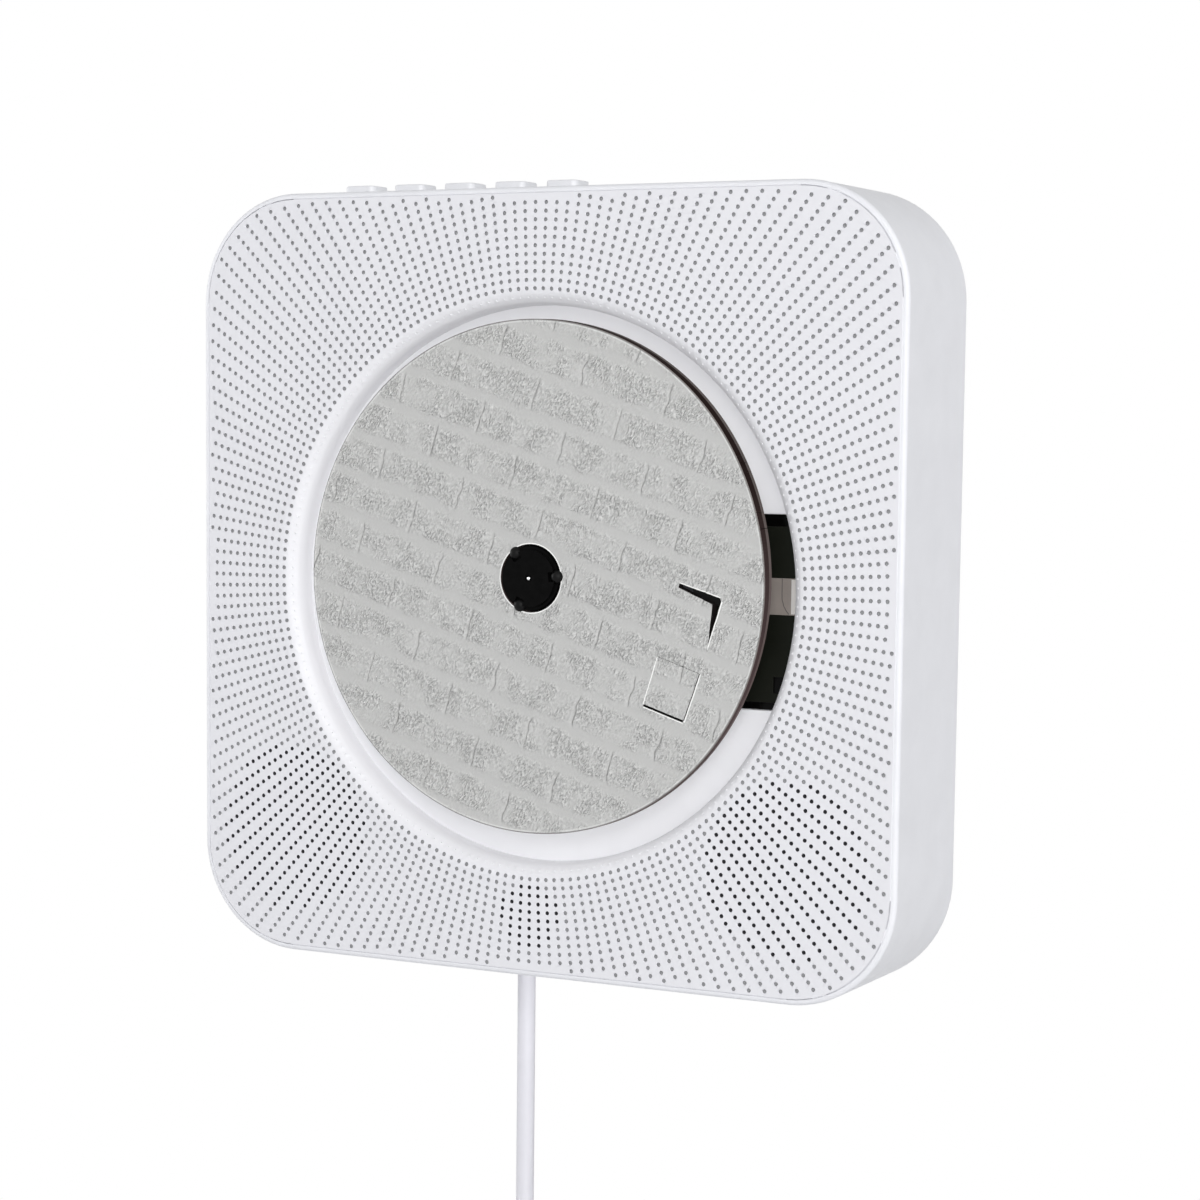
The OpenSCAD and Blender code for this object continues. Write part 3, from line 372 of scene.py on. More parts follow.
def paper_face(name):
    """The disc's face: dull paper, crumpled finely on its bricks and smooth in the mortar. Its
    crumples carry painted light and shade, its joints' steep edges painted shade, and a painted
    highlight runs just inside its edge.
    """
    grey = (0.5, 0.5, 0.49)
    n = Nodes(name, grey, 0.8, specular=0.25)
    brick, joint, near, rim = (n.add("ShaderNodeAttribute", attribute_name=known).outputs["Fac"]
                               for known in DISC_ATTRIBUTES)
    patches = n.times(n.spread(brick, 0, 1, 0.2, 1),
                      n.spread(n.noise(6, detail=2), 0.38, 0.6, 0.25, 1))
    crumple = n.noise(0.38, detail=1, rough=0.6, stretch=(1, 1, 0.5), lean=math.radians(35))
    # painted shade: a dark line along each joint's steep edge, as strong as near says
    joint_shade = n.times(near, n.times(n.spread(joint, -0.35, 0, 0, 1),
                                   n.spread(joint, 0, 0.35, 1, 0)))
    ridge = n.times(n.spread(joint, -0.1, 0.2, 0, 1), n.spread(joint, 0.2, 1.2, 1, 0))
    # painted light and shade: the crumples are painted lighter and darker, where patches lets them
    # show
    tone = n.spread(n.times(n.spread(crumple, 0.3, 0.7, -0.5, 1.5), patches), -1, 1, 0, 1)
    # the joints' painted shade darkens the tone, and the tone also darkens within a fifth of a
    # millimetre of the edge
    tone = n.times(tone, n.times(n.spread(joint_shade, 0, 1, 1, 0), n.spread(rim, 0.1, 0.2, 0, 1)))
    # painted highlight: a pale band just inside the disc's edge
    highlight_band = n.times(n.spread(rim, 0.15, 0.25, 0, 1), n.spread(rim, 0.4, 0.6, 0.35, 0))
    n.tint(n.plus(tone, highlight_band), shade(grey, 0.62), shade(grey, 1.42))
    n.shine(crumple, 0.72, 0.85)
    n.bump(n.times(ridge, near), 0.5)
    n.bump(n.times(n.spread(crumple, 0.3, 0.7, 0, 1), patches), 0.5)
    n.bump(n.noise(0.3, detail=1), 0.01)
    return n.material


def brushed_black(name):
    """Satin black plastic with the fine turned lines of a hub."""
    n = Nodes(name, (0.003, 0.003, 0.003), 0.42, specular=0.03)
    n.tint(n.spread(n.noise(2), 0.3, 0.7, 0, 1), (0.002, 0.002, 0.002), (0.004, 0.004, 0.004))
    n.shine(n.noise(0.5, detail=5), 0.36, 0.5)
    n.bump(n.noise(0.3), 0.01)
    return n.material


def smoked_window(name):
    """The pale display behind its smoked cover."""
    tone = (0.255, 0.225, 0.205)
    n = Nodes(name, tone, 0.12, IOR=1.5)
    n.tint(n.spread(n.noise(5), 0.3, 0.7, 0, 1), shade(tone, 0.94), shade(tone, 1.06))
    n.shine(n.noise(0.8), 0.09, 0.16)
    return n.material


def lens_coat(name):
    n = Nodes(name, (0.18, 0.24, 0.42), 0.06, IOR=1.5)
    n.tint(n.spread(n.noise(1.5), 0.3, 0.7, 0, 1), (0.15, 0.2, 0.4), (0.25, 0.22, 0.45))
    return n.material


def vinyl(name, colour):
    """The lead's soft jacket, faintly mottled and a little shiny."""
    n = Nodes(name, colour, 0.38)
    n.tint(n.spread(n.noise(4), 0.3, 0.7, 0, 1), shade(colour, 0.985), shade(colour, 1.015))
    n.shine(n.noise(1.2), 0.33, 0.45)
    n.bump(n.noise(0.6), 0.012)
    return n.material


WHITE = (0.79, 0.795, 0.825)
# A name that the frame has already gets a number behind a dot
FINISH = {made.name.split(".")[0]: made for made in (
    moulded("white_plastic", WHITE, 0.42),
    panel_face("panel_plastic"),
    moulded("hole_shade", (0.38, 0.385, 0.395), 0.7, specular=0.2),
    # painted shade: near black on the walls of the holes that go through
    moulded("through_hole_shade", (0.06, 0.06, 0.065), 0.7, specular=0.1),
    moulded("frame_plastic", (0.7, 0.7, 0.72), 0.6),
    # used for the painted shade sheet inside the rear cover
    rubber("felt", (0.004, 0.004, 0.004)),
    # painted light: the well is paler than the front's white, standing in for light where the disc
    # and the lip shade it
    moulded("well_plastic", (0.865, 0.865, 0.89), 0.4, depth=0.004, mottle=0.01),
    moulded("deck_plastic", (0.001, 0.001, 0.001), 0.2, depth=0.002, specular=0.08),
    moulded("deck_lid", (0.007, 0.0078, 0.0055), 0.45, mottle=0.12, specular=0.08),
    smoked_window("window_plastic"),
    moulded("display_strip", (0.6, 0.58, 0.56), 0.3),
    moulded("display_parts", (0.03, 0.03, 0.03), 0.6),
    metal("chassis_steel", (0.1, 0.1, 0.105), 0.45, stretch=(1, 1, 0.1)),
    rubber("damper_rubber", (0.02, 0.02, 0.024)),
    metal("screw_steel", (0.52, 0.53, 0.56), 0.3),
    metal("motor_steel", (0.45, 0.46, 0.5), 0.35, stretch=(1, 0.15, 1)),
    metal("rod_steel", (0.6, 0.61, 0.64), 0.15, stretch=(0.1, 1, 1)),
    brushed_black("hub_plastic"),
    moulded("ball_plastic", (0.005, 0.005, 0.005), 0.4, mottle=0.1, specular=0.1),
    rubber("ring_rubber", (0.012, 0.012, 0.012)),
    paper_face("disc_paper"),
    edge_darker_above("disc_edge", (0.012, 0.006, 0.005), (0.075, 0.05, 0.05)),
    moulded("disc_back", (0.5, 0.49, 0.47), 0.8, mottle=0.04),
    # painted highlight: the back part of the edge is paler, standing in for light along the back's
    # bevel
    edge_darker_above("disc_edge_back", (0.1, 0.085, 0.08), (0.14, 0.105, 0.1)),
    moulded("disc_rim", (0.2, 0.18, 0.17), 0.7),
    # painted highlight: the pale of the bands beside the cuts and round the centre hole
    moulded("cut_highlight", (0.9, 0.9, 0.88), 0.8),
    moulded("slit_shade", (0.012, 0.01, 0.01), 0.9, specular=0.05),
    moulded("sled_plastic", (0.02, 0.02, 0.022), 0.55, mottle=0.1),
    lens_coat("lens_glass"),
    moulded("gear_plastic", (0.82, 0.8, 0.7), 0.45),
    metal("pinion_brass", (0.6, 0.5, 0.25), 0.3, stretch=(1, 0.2, 1)),
    moulded("speaker_steel", (0.015, 0.015, 0.015), 0.5, mottle=0.1),
    moulded("cone_paper", (0.012, 0.012, 0.012), 0.9, grain=0.6, depth=0.05, mottle=0.15),
    metal("magnet_metal", (0.1, 0.1, 0.11), 0.6),
    moulded("receiver_epoxy", (0.01, 0.006, 0.01), 0.15, depth=0.002),
    board_green("circuit_board"),
    moulded("board_parts", (0.02, 0.02, 0.022), 0.5, mottle=0.1),
    moulded("button_plastic", (0.78, 0.785, 0.81), 0.4),
    moulded("switch_plastic", (0.03, 0.03, 0.035), 0.6, mottle=0.1),
    moulded("cover_plastic", (0.77, 0.775, 0.8), 0.45),
    moulded("plate_plastic", (0.74, 0.745, 0.77), 0.5),
    vinyl("lead_pvc", (0.72, 0.715, 0.76)),
    moulded("tie_plastic", (0.03, 0.03, 0.03), 0.5, mottle=0.1),
    metal("plug_metal", (0.62, 0.62, 0.64), 0.22, stretch=(1, 1, 0.2)),
)}
SPINDLE_METAL = metal("spindle_metal", (0.85, 0.85, 0.86), 0.2)


def dress_frame():
    """Each CAD node that shows takes the detailed finish of its own slot."""
    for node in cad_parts.values():
        for holder in node.material_slots:
            name = holder.material.name.split(".")[0] if holder.material else ""
            if name in FINISH:
                holder.material = FINISH[name]


# Flat outlines and how they are cut
def rounded_square(half, radius, steps=12):
    """A rounded square's points, anticlockwise."""
    c = half - radius
    points = []
    for quarter, (sx, sz) in enumerate(((1, 1), (-1, 1), (-1, -1), (1, -1))):
        for i in range(steps + 1):
            a = (quarter + i / steps) * math.pi / 2
            points.append((sx * c + radius * math.cos(a), sz * c + radius * math.sin(a)))
    return points


def circle(radius, steps, x=0.0, z=0.0):
    return [(x + radius * math.cos(2 * math.pi * i / steps),
             z + radius * math.sin(2 * math.pi * i / steps)) for i in range(steps)]


def clip(shape, outline):
    """The part of a shape that lies inside a convex anticlockwise outline."""
    for (ax, az), (bx, bz) in zip(outline, outline[1:] + outline[:1]):
        side = [(bx - ax) * (z - az) - (bz - az) * (x - ax) for x, z in shape]
        if min(side) >= 0:
            continue
        kept = []
        for i, (x, z) in enumerate(shape):
            nx, nz = shape[i - 1]
            if (side[i] >= 0) != (side[i - 1] >= 0):
                t = side[i - 1] / (side[i - 1] - side[i])
                kept.append((nx + t * (x - nx), nz + t * (z - nz)))
            if side[i] >= 0:
                kept.append((x, z))
        shape = kept
        if len(shape) < 3:
            return []
    return shape


class Surface:
    """Collects faces by their points in the part's millimetres, then makes one object."""

    def __init__(self):
        self.points, self.index, self.faces, self.kinds = [], {}, [], []

    def point(self, x, depth, z):
        key = (round(x, 4), round(depth, 4), round(z, 4))
        if key not in self.index:
            self.index[key] = len(self.points)
            self.points.append(at(*key))
        return self.index[key]

    def face(self, corners, kind=0):
        """A face from its corners' indices, leaving out repeated ones."""
        kept = [c for i, c in enumerate(corners) if c != corners[i - 1]]
        if len(kept) > 2:
            self.faces.append(kept)
            self.kinds.append(kind)

    def band(self, one, other, kind=0):
        """Quads between two closed rows of points."""
        for i in range(len(one)):
            self.face([one[i - 1], one[i], other[i], other[i - 1]], kind)

    def make(self, name, materials, body, stands_for=(), sharp=35):
        mesh = bpy.data.meshes.new(name)
        mesh.from_pydata(self.points, [], self.faces)
        for material in materials:
            mesh.materials.append(material)
        mesh.polygons.foreach_set("material_index", self.kinds)
        return finish_mesh(mesh, name, body, stands_for, sharp)


def finish_mesh(mesh, name, body, stands_for=(), sharp=35):
    mesh.validate()
    bm = bmesh.new()
    bm.from_mesh(mesh)
    bmesh.ops.recalc_face_normals(bm, faces=bm.faces)
    bm.to_mesh(mesh)
    bm.free()
    mesh.polygons.foreach_set("use_smooth", [True] * len(mesh.polygons))
    mesh.set_sharp_from_angle(angle=math.radians(sharp))
    obj = new_object(name, mesh)
    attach(obj, body)
    if stands_for:
        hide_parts(*stands_for)
    return obj


def plate(name, outlines, depths, soft, material, body, stands_for=()):
    """A flat plate between two depths with soft edges; outlines after the first are holes."""
    data = bpy.data.curves.new(name, "CURVE")
    data.dimensions = "2D"
    data.fill_mode = "BOTH"
    data.extrude = ((depths[1] - depths[0]) / 2 - soft) * MM
    data.bevel_depth = soft * MM
    data.bevel_resolution = 2
    data.offset = -soft * MM
    for outline in outlines:
        add_line(data, [(x * MM, z * MM, 0) for x, z in outline], closed=True)
    draft = new_object(name, data)
    graph = bpy.context.evaluated_depsgraph_get()
    mesh = bpy.data.meshes.new_from_object(draft.evaluated_get(graph))
    bpy.data.objects.remove(draft)
    bpy.data.curves.remove(data)
    mesh.transform(Matrix.Translation(at(0, sum(depths) / 2, 0))
                   @ Matrix.Rotation(math.pi / 2, 4, "X"))
    mesh.materials.clear()
    mesh.materials.append(material)
    return finish_mesh(mesh, name, body, stands_for)


def box_outline(left, lower, right, upper, radius=0.0, steps=6):
    """A rectangle's outline between its edges, anticlockwise, with round corners if asked for."""
    if not radius:
        return [(left, lower), (right, lower), (right, upper), (left, upper)]
    return arc_corners([(right - radius, upper - radius), (left + radius, upper - radius),
                        (left + radius, lower + radius), (right - radius, lower + radius)],
                       radius, steps)


def arc_corners(centres, radius, steps):
    """Quarter rounds about four centres, anticlockwise from the upper right one."""
    return [(cx + radius * math.cos((quarter + i / steps) * math.pi / 2),
             cz + radius * math.sin((quarter + i / steps) * math.pi / 2))
            for quarter, (cx, cz) in enumerate(centres) for i in range(steps + 1)]


# The deck: a glossy base, and on it the lid with its window and the latch's pocket
def deck_outline(lower, upper, reach, steps=16):
    """Round corners on the left and an arc about the front's centre on the right."""
    first, last = math.asin(lower / reach), math.asin(upper / reach)
    arc = [(reach * math.cos(first + (last - first) * i / steps),
            reach * math.sin(first + (last - first) * i / steps)) for i in range(steps + 1)]
    centre_x = DECK_LEFT + DECK_CORNER
    points = 9                  # of each corner
    corners = arc_corners([(0, 0), (centre_x, upper - DECK_CORNER),
                           (centre_x, lower + DECK_CORNER), (0, 0)], DECK_CORNER, points - 1)
    return arc + corners[points:3 * points]


def make_deck():
    slot_half = LENS_SLOT_W / 2
    lens_end = LENS_START + SLED_TRAVEL
    openings = [circle(HUB_OPEN_R, 96, 0, SPINDLE_UP),
                box_outline(LENS_START - LENS_R - SLOT_END, SPINDLE_UP - slot_half,
                            lens_end + LENS_R + SLOT_END, SPINDLE_UP + slot_half, 2),
                box_outline(*WINDOW)]
    base = deck_outline(DECK_BOTTOM, DECK_TOP, DECK_REACH)
    lid = deck_outline(DECK_BOTTOM + BORDER_BOTTOM, DECK_TOP - BORDER_TOP,
                       DECK_REACH - BORDER_SIDE)
    plate("deck_base", [base] + openings, (DECK_D0 + LID_RISE, DECK_D1), 0.1,
          FINISH["deck_plastic"], "player", ["deck"])
    plate("deck_lid", [lid] + openings + [box_outline(*LATCH)],
          (DECK_D0, DECK_D0 + LID_RISE), 0.12, FINISH["deck_lid"], "player")


STRIP_W = 1.4                   # the pale strip at the window's right end
STRIP_INSET = 0.25
STRIP_D0, STRIP_D1, WIRE_D = 0.02, 0.14, 0.08   # depths behind the deck's front
WIRE_R = 0.07
WIRE = ((60.6, 3.8), (60.6, 0.6), (60.65, -1.0), (61.1, -2.5), (61.7, -3.5), (62.4, -4.3))


def make_display():
    """What shows in the window: a pale strip, and a thin curved wire in front of the glass."""
    _, lower, right, upper = WINDOW
    strip = box_outline(right - STRIP_W, lower + STRIP_INSET,
                        right - STRIP_INSET / 2, upper - STRIP_INSET)
    plate("display_strip", [strip], (DECK_D0 + STRIP_D0, DECK_D0 + STRIP_D1), 0.03,
          FINISH["display_strip"], "player")
    data = bpy.data.curves.new("display_wire", "CURVE")
    data.dimensions = "3D"
    data.bevel_depth = WIRE_R * MM
    data.bevel_resolution = 2
    add_line(data, [at(x, DECK_D0 + WIRE_D, z) for x, z in WIRE])
    data.materials.append(FINISH["display_parts"])
    wire = new_object("display_wire", data)
    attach(wire, "player")


SHADE_SHEET = (14, -16, 46, 14)      # painted shade: a black sheet inside the rear cover, behind the slot and slits
SHADE_SHEET_T, SHADE_SHEET_GAP = 0.32, 0.03
COVER_INNER_D = 34.3


# A black sheet where there is only shade: painted shade behind the deck's slot and the disc's slits
def make_shade_sheet():
    back = COVER_INNER_D - SHADE_SHEET_GAP
    plate("cover_shade_sheet", [box_outline(*SHADE_SHEET, 2)], (back - SHADE_SHEET_T, back), 0.1,
          FINISH["felt"], "player")


# The perforated front
DIMPLE_D = 0.7                  # depth of a hole that something stands behind
DIMPLE_R = 0.48
FAINT_R, FAINT_D = 0.2, 0.05    # the faint dots on the round into the well
MOUTH = 0.09                    # bevel round a hole's mouth
EDGE_ROUND = 0.2
HOLE_SIDES = 12
# The holes' walls and floors take painted shade: grey in the blind holes, near black in those that
# go through
PLAIN, SHADED, THROUGH_SHADE = range(3)  # the front's materials, in the order that make_front has them


def lip_depth(r):
    """Depth of the front's surface at a radius, with the round that leads into the well."""
    inside = WELL_R + LIP_ROUND - r
    if inside <= 0:
        return 0.0
    return LIP_ROUND - math.sqrt(LIP_ROUND ** 2 - min(inside, LIP_ROUND) ** 2)


def within_panel(x, z, half):
    c = half - (PANEL_R - HOLE_MARGIN)
    ax, az = abs(x), abs(z)
    if ax > half or az > half:
        return False
    return not (ax > c and az > c and math.hypot(ax - c, az - c) > half - c)


def goes_through(x, z):
    return (math.hypot(abs(x) - SPEAKER_X, z - SPEAKER_Z) < SPEAKER_OPEN_R - HOLE_D / 4
            or math.hypot(x, z - RECEIVER_Z) < RECEIVER_OPEN_R)


def push_out(x, z, half, radius, by):
    """A point moved outwards if it is on a rounded square's outline."""
    c = half - radius
    dx, dz = max(abs(x) - c, 0), max(abs(z) - c, 0)
    far = math.hypot(dx, dz)
    if abs(far - radius) > 0.02:
        return x, z
    return (x + math.copysign(dx / far, x) * by, z + math.copysign(dz / far, z) * by)


def zip_faces(surface, outer, inner, centre):
    """Triangles between an outline and the ring of a hole inside it."""
    def swept(ring):
        turned = [(math.atan2(z - centre[1], x - centre[0]) % (2 * math.pi), i)
                  for x, z, i in ring]
        start = turned.index(min(turned))
        return turned[start:] + turned[:start]
    a, b = swept(outer), swept(inner)
    i = j = 0
    while i < len(a) or j < len(b):
        pa, pb = a[i % len(a)][1], b[j % len(b)][1]
        next_a = a[i][0] if i < len(a) else math.inf
        next_b = b[j][0] if j < len(b) else math.inf
        if next_a <= next_b:
            surface.face([a[i - 1][1], pa, b[j - 1][1]])
            i += 1
        else:
            surface.face([a[i - 1][1], pb, b[j - 1][1]])
            j += 1


def make_front():
    """Each hole has its own cell of the front; the cells on the edge are cut to the outline."""
    skin = Surface()
    cell_turn = 2 * math.pi / HOLES_PER_RING
    flat_half, flat_r = PANEL_HALF - EDGE_ROUND, PANEL_R - EDGE_ROUND
    front_outline = rounded_square(flat_half, flat_r)
    rings = int((PANEL_HALF * math.sqrt(2) - FIRST_RING_R) / RING_PITCH) + 1
    edge_faces = []
    for k in range(-1, rings):      # -1 is the ring of faint dots on the round into the well
        r = FIRST_RING_R + k * RING_PITCH
        r0, r1 = r - RING_PITCH / 2, r + RING_PITCH / 2
        for j in range(HOLES_PER_RING):
            a = j * cell_turn
            x, z = r * math.cos(a), r * math.sin(a)
            cell = [(rr * math.cos(a + s * cell_turn / 2), rr * math.sin(a + s * cell_turn / 2))
                    for rr, s in ((r0, -1), (r1, -1), (r1, 1), (r0, 1))]
            crossed = r1 > flat_half - RING_PITCH
            shape = clip(cell, front_outline) if crossed else cell
            if not shape:
                continue
            front = [(px, pz, skin.point(px, lip_depth(math.hypot(px, pz)), pz))
                     for px, pz in shape]
            back_shape = shape
            if crossed:
                back_shape = [push_out(px, pz, flat_half, flat_r, EDGE_ROUND)
                              for px, pz in shape]
                edge_faces.append((shape, back_shape))
            back = [(px, pz, skin.point(px, PANEL_T, pz)) for px, pz in back_shape]
            small = k < 0
            holed = small or within_panel(x, z, PANEL_HALF - HOLE_MARGIN)
            through = holed and not small and goes_through(x, z)
            if holed:
                hole_r = FAINT_R if small else DIMPLE_R
                bevel = FAINT_D / 2 if small else MOUTH
                deep = lip_depth(r) + bevel + (FAINT_D if small else DIMPLE_D)
                ring = circle(hole_r, HOLE_SIDES, x, z)
                mouth = [(px, pz, skin.point(px, lip_depth(math.hypot(px, pz)), pz))
                         for px, pz in circle(hole_r + bevel, HOLE_SIDES, x, z)]
                throat = [skin.point(px, lip_depth(math.hypot(px, pz)) + bevel, pz)
                          for px, pz in ring]
                floor = [skin.point(px, PANEL_T if through else deep, pz) for px, pz in ring]
                zip_faces(skin, front, mouth, (x, z))
                kind = PLAIN if small else THROUGH_SHADE if through else SHADED
                skin.band([i for _, _, i in mouth], throat, PLAIN)
                skin.band(throat, floor, kind)
                if not through:
                    skin.face(floor, kind)
            else:
                skin.face([i for _, _, i in front])
            if k >= 0:
                if through:
                    zip_faces(skin, back, [(px, pz, i) for (px, pz), i in zip(ring, floor)],
                              (x, z))
                else:
                    skin.face([i for _, _, i in back])
    close_edge(skin, edge_faces)
    close_lip(skin, cell_turn)
    finishes = [FINISH[name] for name in ("panel_plastic", "hole_shade", "through_hole_shade")]
    return skin.make("perforated_front", finishes, "player", ["front_grille"])


def close_edge(skin, edge_faces):
    """The panel's outer edge: a small round in front, then straight back."""
    for shape, pushed in edge_faces:
        for i in range(len(shape)):
            a, b = shape[i - 1], shape[i]
            pa, pb = pushed[i - 1], pushed[i]
            if a == pa or b == pb:
                continue
            front = [skin.point(a[0], 0, a[1]), skin.point(b[0], 0, b[1])]
            round_end = [skin.point(pa[0], EDGE_ROUND, pa[1]), skin.point(pb[0], EDGE_ROUND, pb[1])]
            back = [skin.point(pa[0], PANEL_T, pa[1]), skin.point(pb[0], PANEL_T, pb[1])]
            skin.face([front[0], front[1], round_end[1], round_end[0]])
            skin.face([round_end[0], round_end[1], back[1], back[0]])


def close_lip(skin, cell_turn):
    """The round into the well, its wall, and the lip's back."""
    def row(r, depth):
        return [skin.point(r * math.cos((j + 0.5) * cell_turn), depth,
                           r * math.sin((j + 0.5) * cell_turn)) for j in range(HOLES_PER_RING)]
    inner_r = FIRST_RING_R - 1.5 * RING_PITCH
    steps = 5
    radii = [inner_r + (WELL_R - inner_r) * smoothstep(i / steps) for i in range(steps + 1)]
    rows = [row(r, lip_depth(r)) for r in radii]
    rows += [row(WELL_R, LIP_D), row(WELL_R + LIP_T, LIP_D), row(WELL_R + LIP_T, PANEL_T),
             row(FIRST_RING_R - RING_PITCH / 2, PANEL_T)]
    for one, other in zip(rows, rows[1:]):
        skin.band(one, other)


# The paper disc, embossed with courses of brick that run down to the right
COURSE_TILT = math.radians(-17.5)
COURSE_PITCH = 9.45
COURSE_Z = 3.05                 # middle of the course nearest to the disc's centre
BRICK_PITCH = 22.5
JOINT_X = (-12.4, -2.0)         # a vertical joint in the even and in the odd courses
MORTAR_W = 2.4
MORTAR_SOFT = 1.4               # width of the slope between a course and the mortar
MORTAR_D = 0.1
JOINT_W = 0.6
JOINT_STEEP, JOINT_SOFT = 0.3, 1.0      # slopes at the joint's right and left
JOINT_D = 0.38
JOINT_FLAT, JOINT_FADE = 3, 2   # how far to its sides its shading holds, and then fades
WRINKLE = 0.2
WANDER = 0.6                    # how far the joints and courses stray from straight
GRID = 0.32
EDGE_STEPS, HOLE_STEPS = 192, 48
FACE_SUNK = 0.02                # the face's highest points lie this far behind the CAD's face
RIM_FLAT, RIM_FADE = 0.2, 1.2   # the emboss ends this far from the edge, after fading
RIM_D = 0.25                    # depth of the pale line along the edge
# Behind this share the edge is painted paler: a painted highlight along its back
EDGE_SPLIT = 0.65               # share of the thickness where the edge turns paler
DISC_FINISHES = ("disc_paper", "disc_rim", "disc_edge", "slit_shade", "cut_highlight",
                 "disc_edge_back", "disc_back")
PAPER, RIM, EDGE, SLIT, CUT, EDGE_BACK, BACK = range(7)


def brick_height(u, v):
    """How far a point in the courses' frame has left the mortar and the joint, each 0 to 1,
    its distance past the joint's steep edge, and how strongly that edge shows there."""
    u += WANDER * noise.noise(Vector((u * 0.1, v * 0.35, 7)))
    v += WANDER * noise.noise(Vector((u * 0.3, v * 0.1, 11)))
    course = math.floor((v - COURSE_Z) / COURSE_PITCH + 0.5)
    across = abs(v - COURSE_Z - course * COURSE_PITCH)
    up = smoothstep((COURSE_PITCH / 2 - across - MORTAR_W / 2) / MORTAR_SOFT + 0.5)
    along = (u - JOINT_X[course % 2] + BRICK_PITCH / 2) % BRICK_PITCH - BRICK_PITCH / 2
    depth = 0.35 + 0.65 * abs(noise.noise(Vector((round(u - along), course, 5)))) / 0.3
    near = up * min(depth, 1) * (1 - smoothstep((abs(along) - JOINT_FLAT) / JOINT_FADE))
    if along > 0:
        side = smoothstep((along - JOINT_W / 2) / JOINT_STEEP + 0.5)
    else:
        side = smoothstep((-along - JOINT_W / 2) / JOINT_SOFT + 0.5)
    return up, side, along - JOINT_W / 2, near


def face_depth(u, v):
    """Depth of the disc's face behind its highest plane."""
    up, side, _, _ = brick_height(u, v)
    crumple = noise.turbulence(Vector((u * 0.9, v * 0.7, 3)), 2, True,
                               noise_basis="PERLIN_ORIGINAL",
                               amplitude_scale=0.7, frequency_scale=2.0)
    inset = min(u - FLAP[0], v - FLAP[1], FLAP[2] - u, FLAP[3] - v)
    return (MORTAR_D * (1 - up) + JOINT_D * up * (1 - side)
            + up * side * WRINKLE * (crumple - 0.3) + FLAP_D * smoothstep(inset / FLAP_SOFT + 0.5))


# Slits round the flaps, as convex outlines in the courses' own frame
SLITS = [[(36.6, 10.8), (45.8, 10.0), (47.7, 10.0), (47.7, 11.3), (47.2, 12.0), (36.6, 11.8)],
         [(45.8, 10.1), (47.7, 0.8), (47.7, 10.1)],
         [(36.7, -18.1), (47.3, -18.1), (47.3, -17.6), (36.7, -17.6)],
         [(36.5, -5.94), (47.9, -6.14), (47.9, -6.06), (36.5, -5.86)],
         [(47.25, -17.6), (47.5, -17.6), (47.92, -6.1), (47.7, -6.1)]]
# Painted highlights: pale bands on the face beside the cuts, standing in for light on the raised
# paper there
CUT_HIGHLIGHTS = [[(36.6, 11.8), (47.2, 12.0), (47.2, 12.25), (36.6, 12.05)],
         [(47.7, 0.4), (47.95, -0.4), (48.05, 11.4), (47.7, 11.3)],
         [(36.7, -18.35), (47.3, -18.35), (47.3, -18.1), (36.7, -18.1)],
         [(47.5, -17.9), (47.85, -17.9), (48.25, -6.1), (47.92, -6.1)],
         [(36.45, -17.6), (36.65, -17.6), (36.65, -6.0), (36.45, -6.0)]]
# width of the painted highlight round the centre hole
HOLE_HIGHLIGHT = 0.28
FLAP = (36.6, -17.7, 47.6, -5.9)        # the square flap: left, lower, right and upper edge
FLAP_D, FLAP_SOFT = 0.16, 0.3    # how far it is pressed in, and over what width


def rotate(x, z, angle):
    c, s = math.cos(angle), math.sin(angle)
    return x * c - z * s, x * s + z * c


